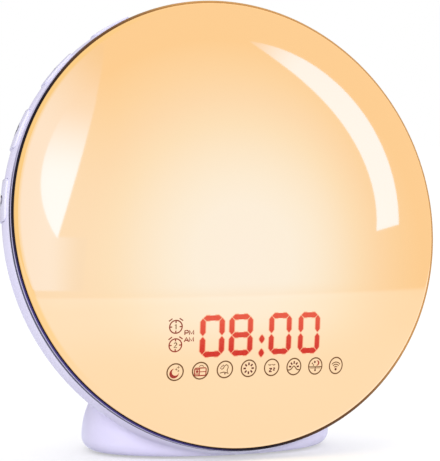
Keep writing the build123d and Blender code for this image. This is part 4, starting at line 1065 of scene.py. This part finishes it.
def white_floor():
    """Wide floor that is white wherever nothing shades it."""
    corners = np.array([(-1, -1, 0), (1, -1, 0), (1, 1, 0), (-1, 1, 0)]) * FLOOR_HALF
    floor = placed("floor", sheet_mesh("floor", corners, [(0, 1, 2, 3)]))
    n = Nodes("floor_white")
    paper = n.ramp(n.noise(3.0, 1.0), [(spot, grey(level)) for spot, level in enumerate(FLOOR_GREYS)])
    from_clock = n.add("ShaderNodeVectorMath", {0: n.place, 1: (0.0, FACE_Y, 0.0)}, operation="DISTANCE")
    near = n.span(from_clock.outputs["Value"], *FLOOR_REACH)
    in_gloss = n.mix(near, grey(SKY_IN_GLOSS), FLOOR_IN_GLOSS)
    paths = n.add("ShaderNodeLightPath").outputs
    gloss = paths["Is Glossy Ray"]
    seen = n.math("MAXIMUM", paths["Is Camera Ray"], paths["Is Transmission Ray"])
    lifted = n.mix(seen, BLACK, grey(FLOOR_LIFT))
    n.set(Base_Color=n.mix(gloss, paper, BLACK), Emission_Color=n.mix(gloss, lifted, in_gloss))
    n.set(Emission_Strength=1.0, Roughness=0.9, Specular_IOR_Level=0.0)
    floor.data.materials.append(n.material)


def build_stage():
    """Camera, surroundings and floor; a strip at the right, a blade and its haze at the left; lamps."""
    place_camera()
    pale_world()
    white_floor()
    soft_panel("strip_right", RIGHT_PLACE, (-0.62, 0.83), STRIP_SIDES, (5.6, 0.5), (0.45, 0.95))
    soft_panel("blade_left", LEFT_PLACE, (BLADE_FOOT, 0.75), BLADE_SIDES, (6.1, 1.7), (0.0, 0.72))
    soft_panel("haze_left", LEFT_PLACE, (BLADE_FOOT, 1.5), HAZE_SIDES, HAZE_GLOW, (0.3, 1.45), 1.55)
    soft_panel("haze_low", LEFT_PLACE, (-1.1, BLADE_FOOT), LOW_SIDES, HAZE_GLOW, (0.14, -0.18), 1.55, "X")
    lamp("overhead", 10.0, 78.0, 1.8, (1.8, 1.4), 0.6)
    lamp("front_fill", -15.0, 3.0, 1.6, (1.2, 0.22), 17.7)


# -------- making the clock

SOFT_NODES = [
    "rear_shell", "base_plate", "rubber_feet", "battery_cover", "dc_jack", "dc_jack_pin",
    "shell_screws", "base_screws", "speaker_cone", "speaker_surround", "speaker_basket", "speaker_magnet",
]


def body_of(node):
    """Name of the body that carries a node."""
    return next(name for name, nodes in frame["record"]["behaviour"]["bodies"].items() if node in nodes)


def build_clock():
    """Finish the nodes that stay, then put the smooth pieces and the marks in place."""
    finish_frame_nodes()
    buttons = [node for node in frame["nodes"] if "button" in node]
    for node in SOFT_NODES + buttons:
        softened(node, body_of(node))
    dome()
    ring()
    display()
    button_marks()


build_stage()
build_clock()
scene = bpy.context.scene
scene.view_settings.view_transform = "Standard"
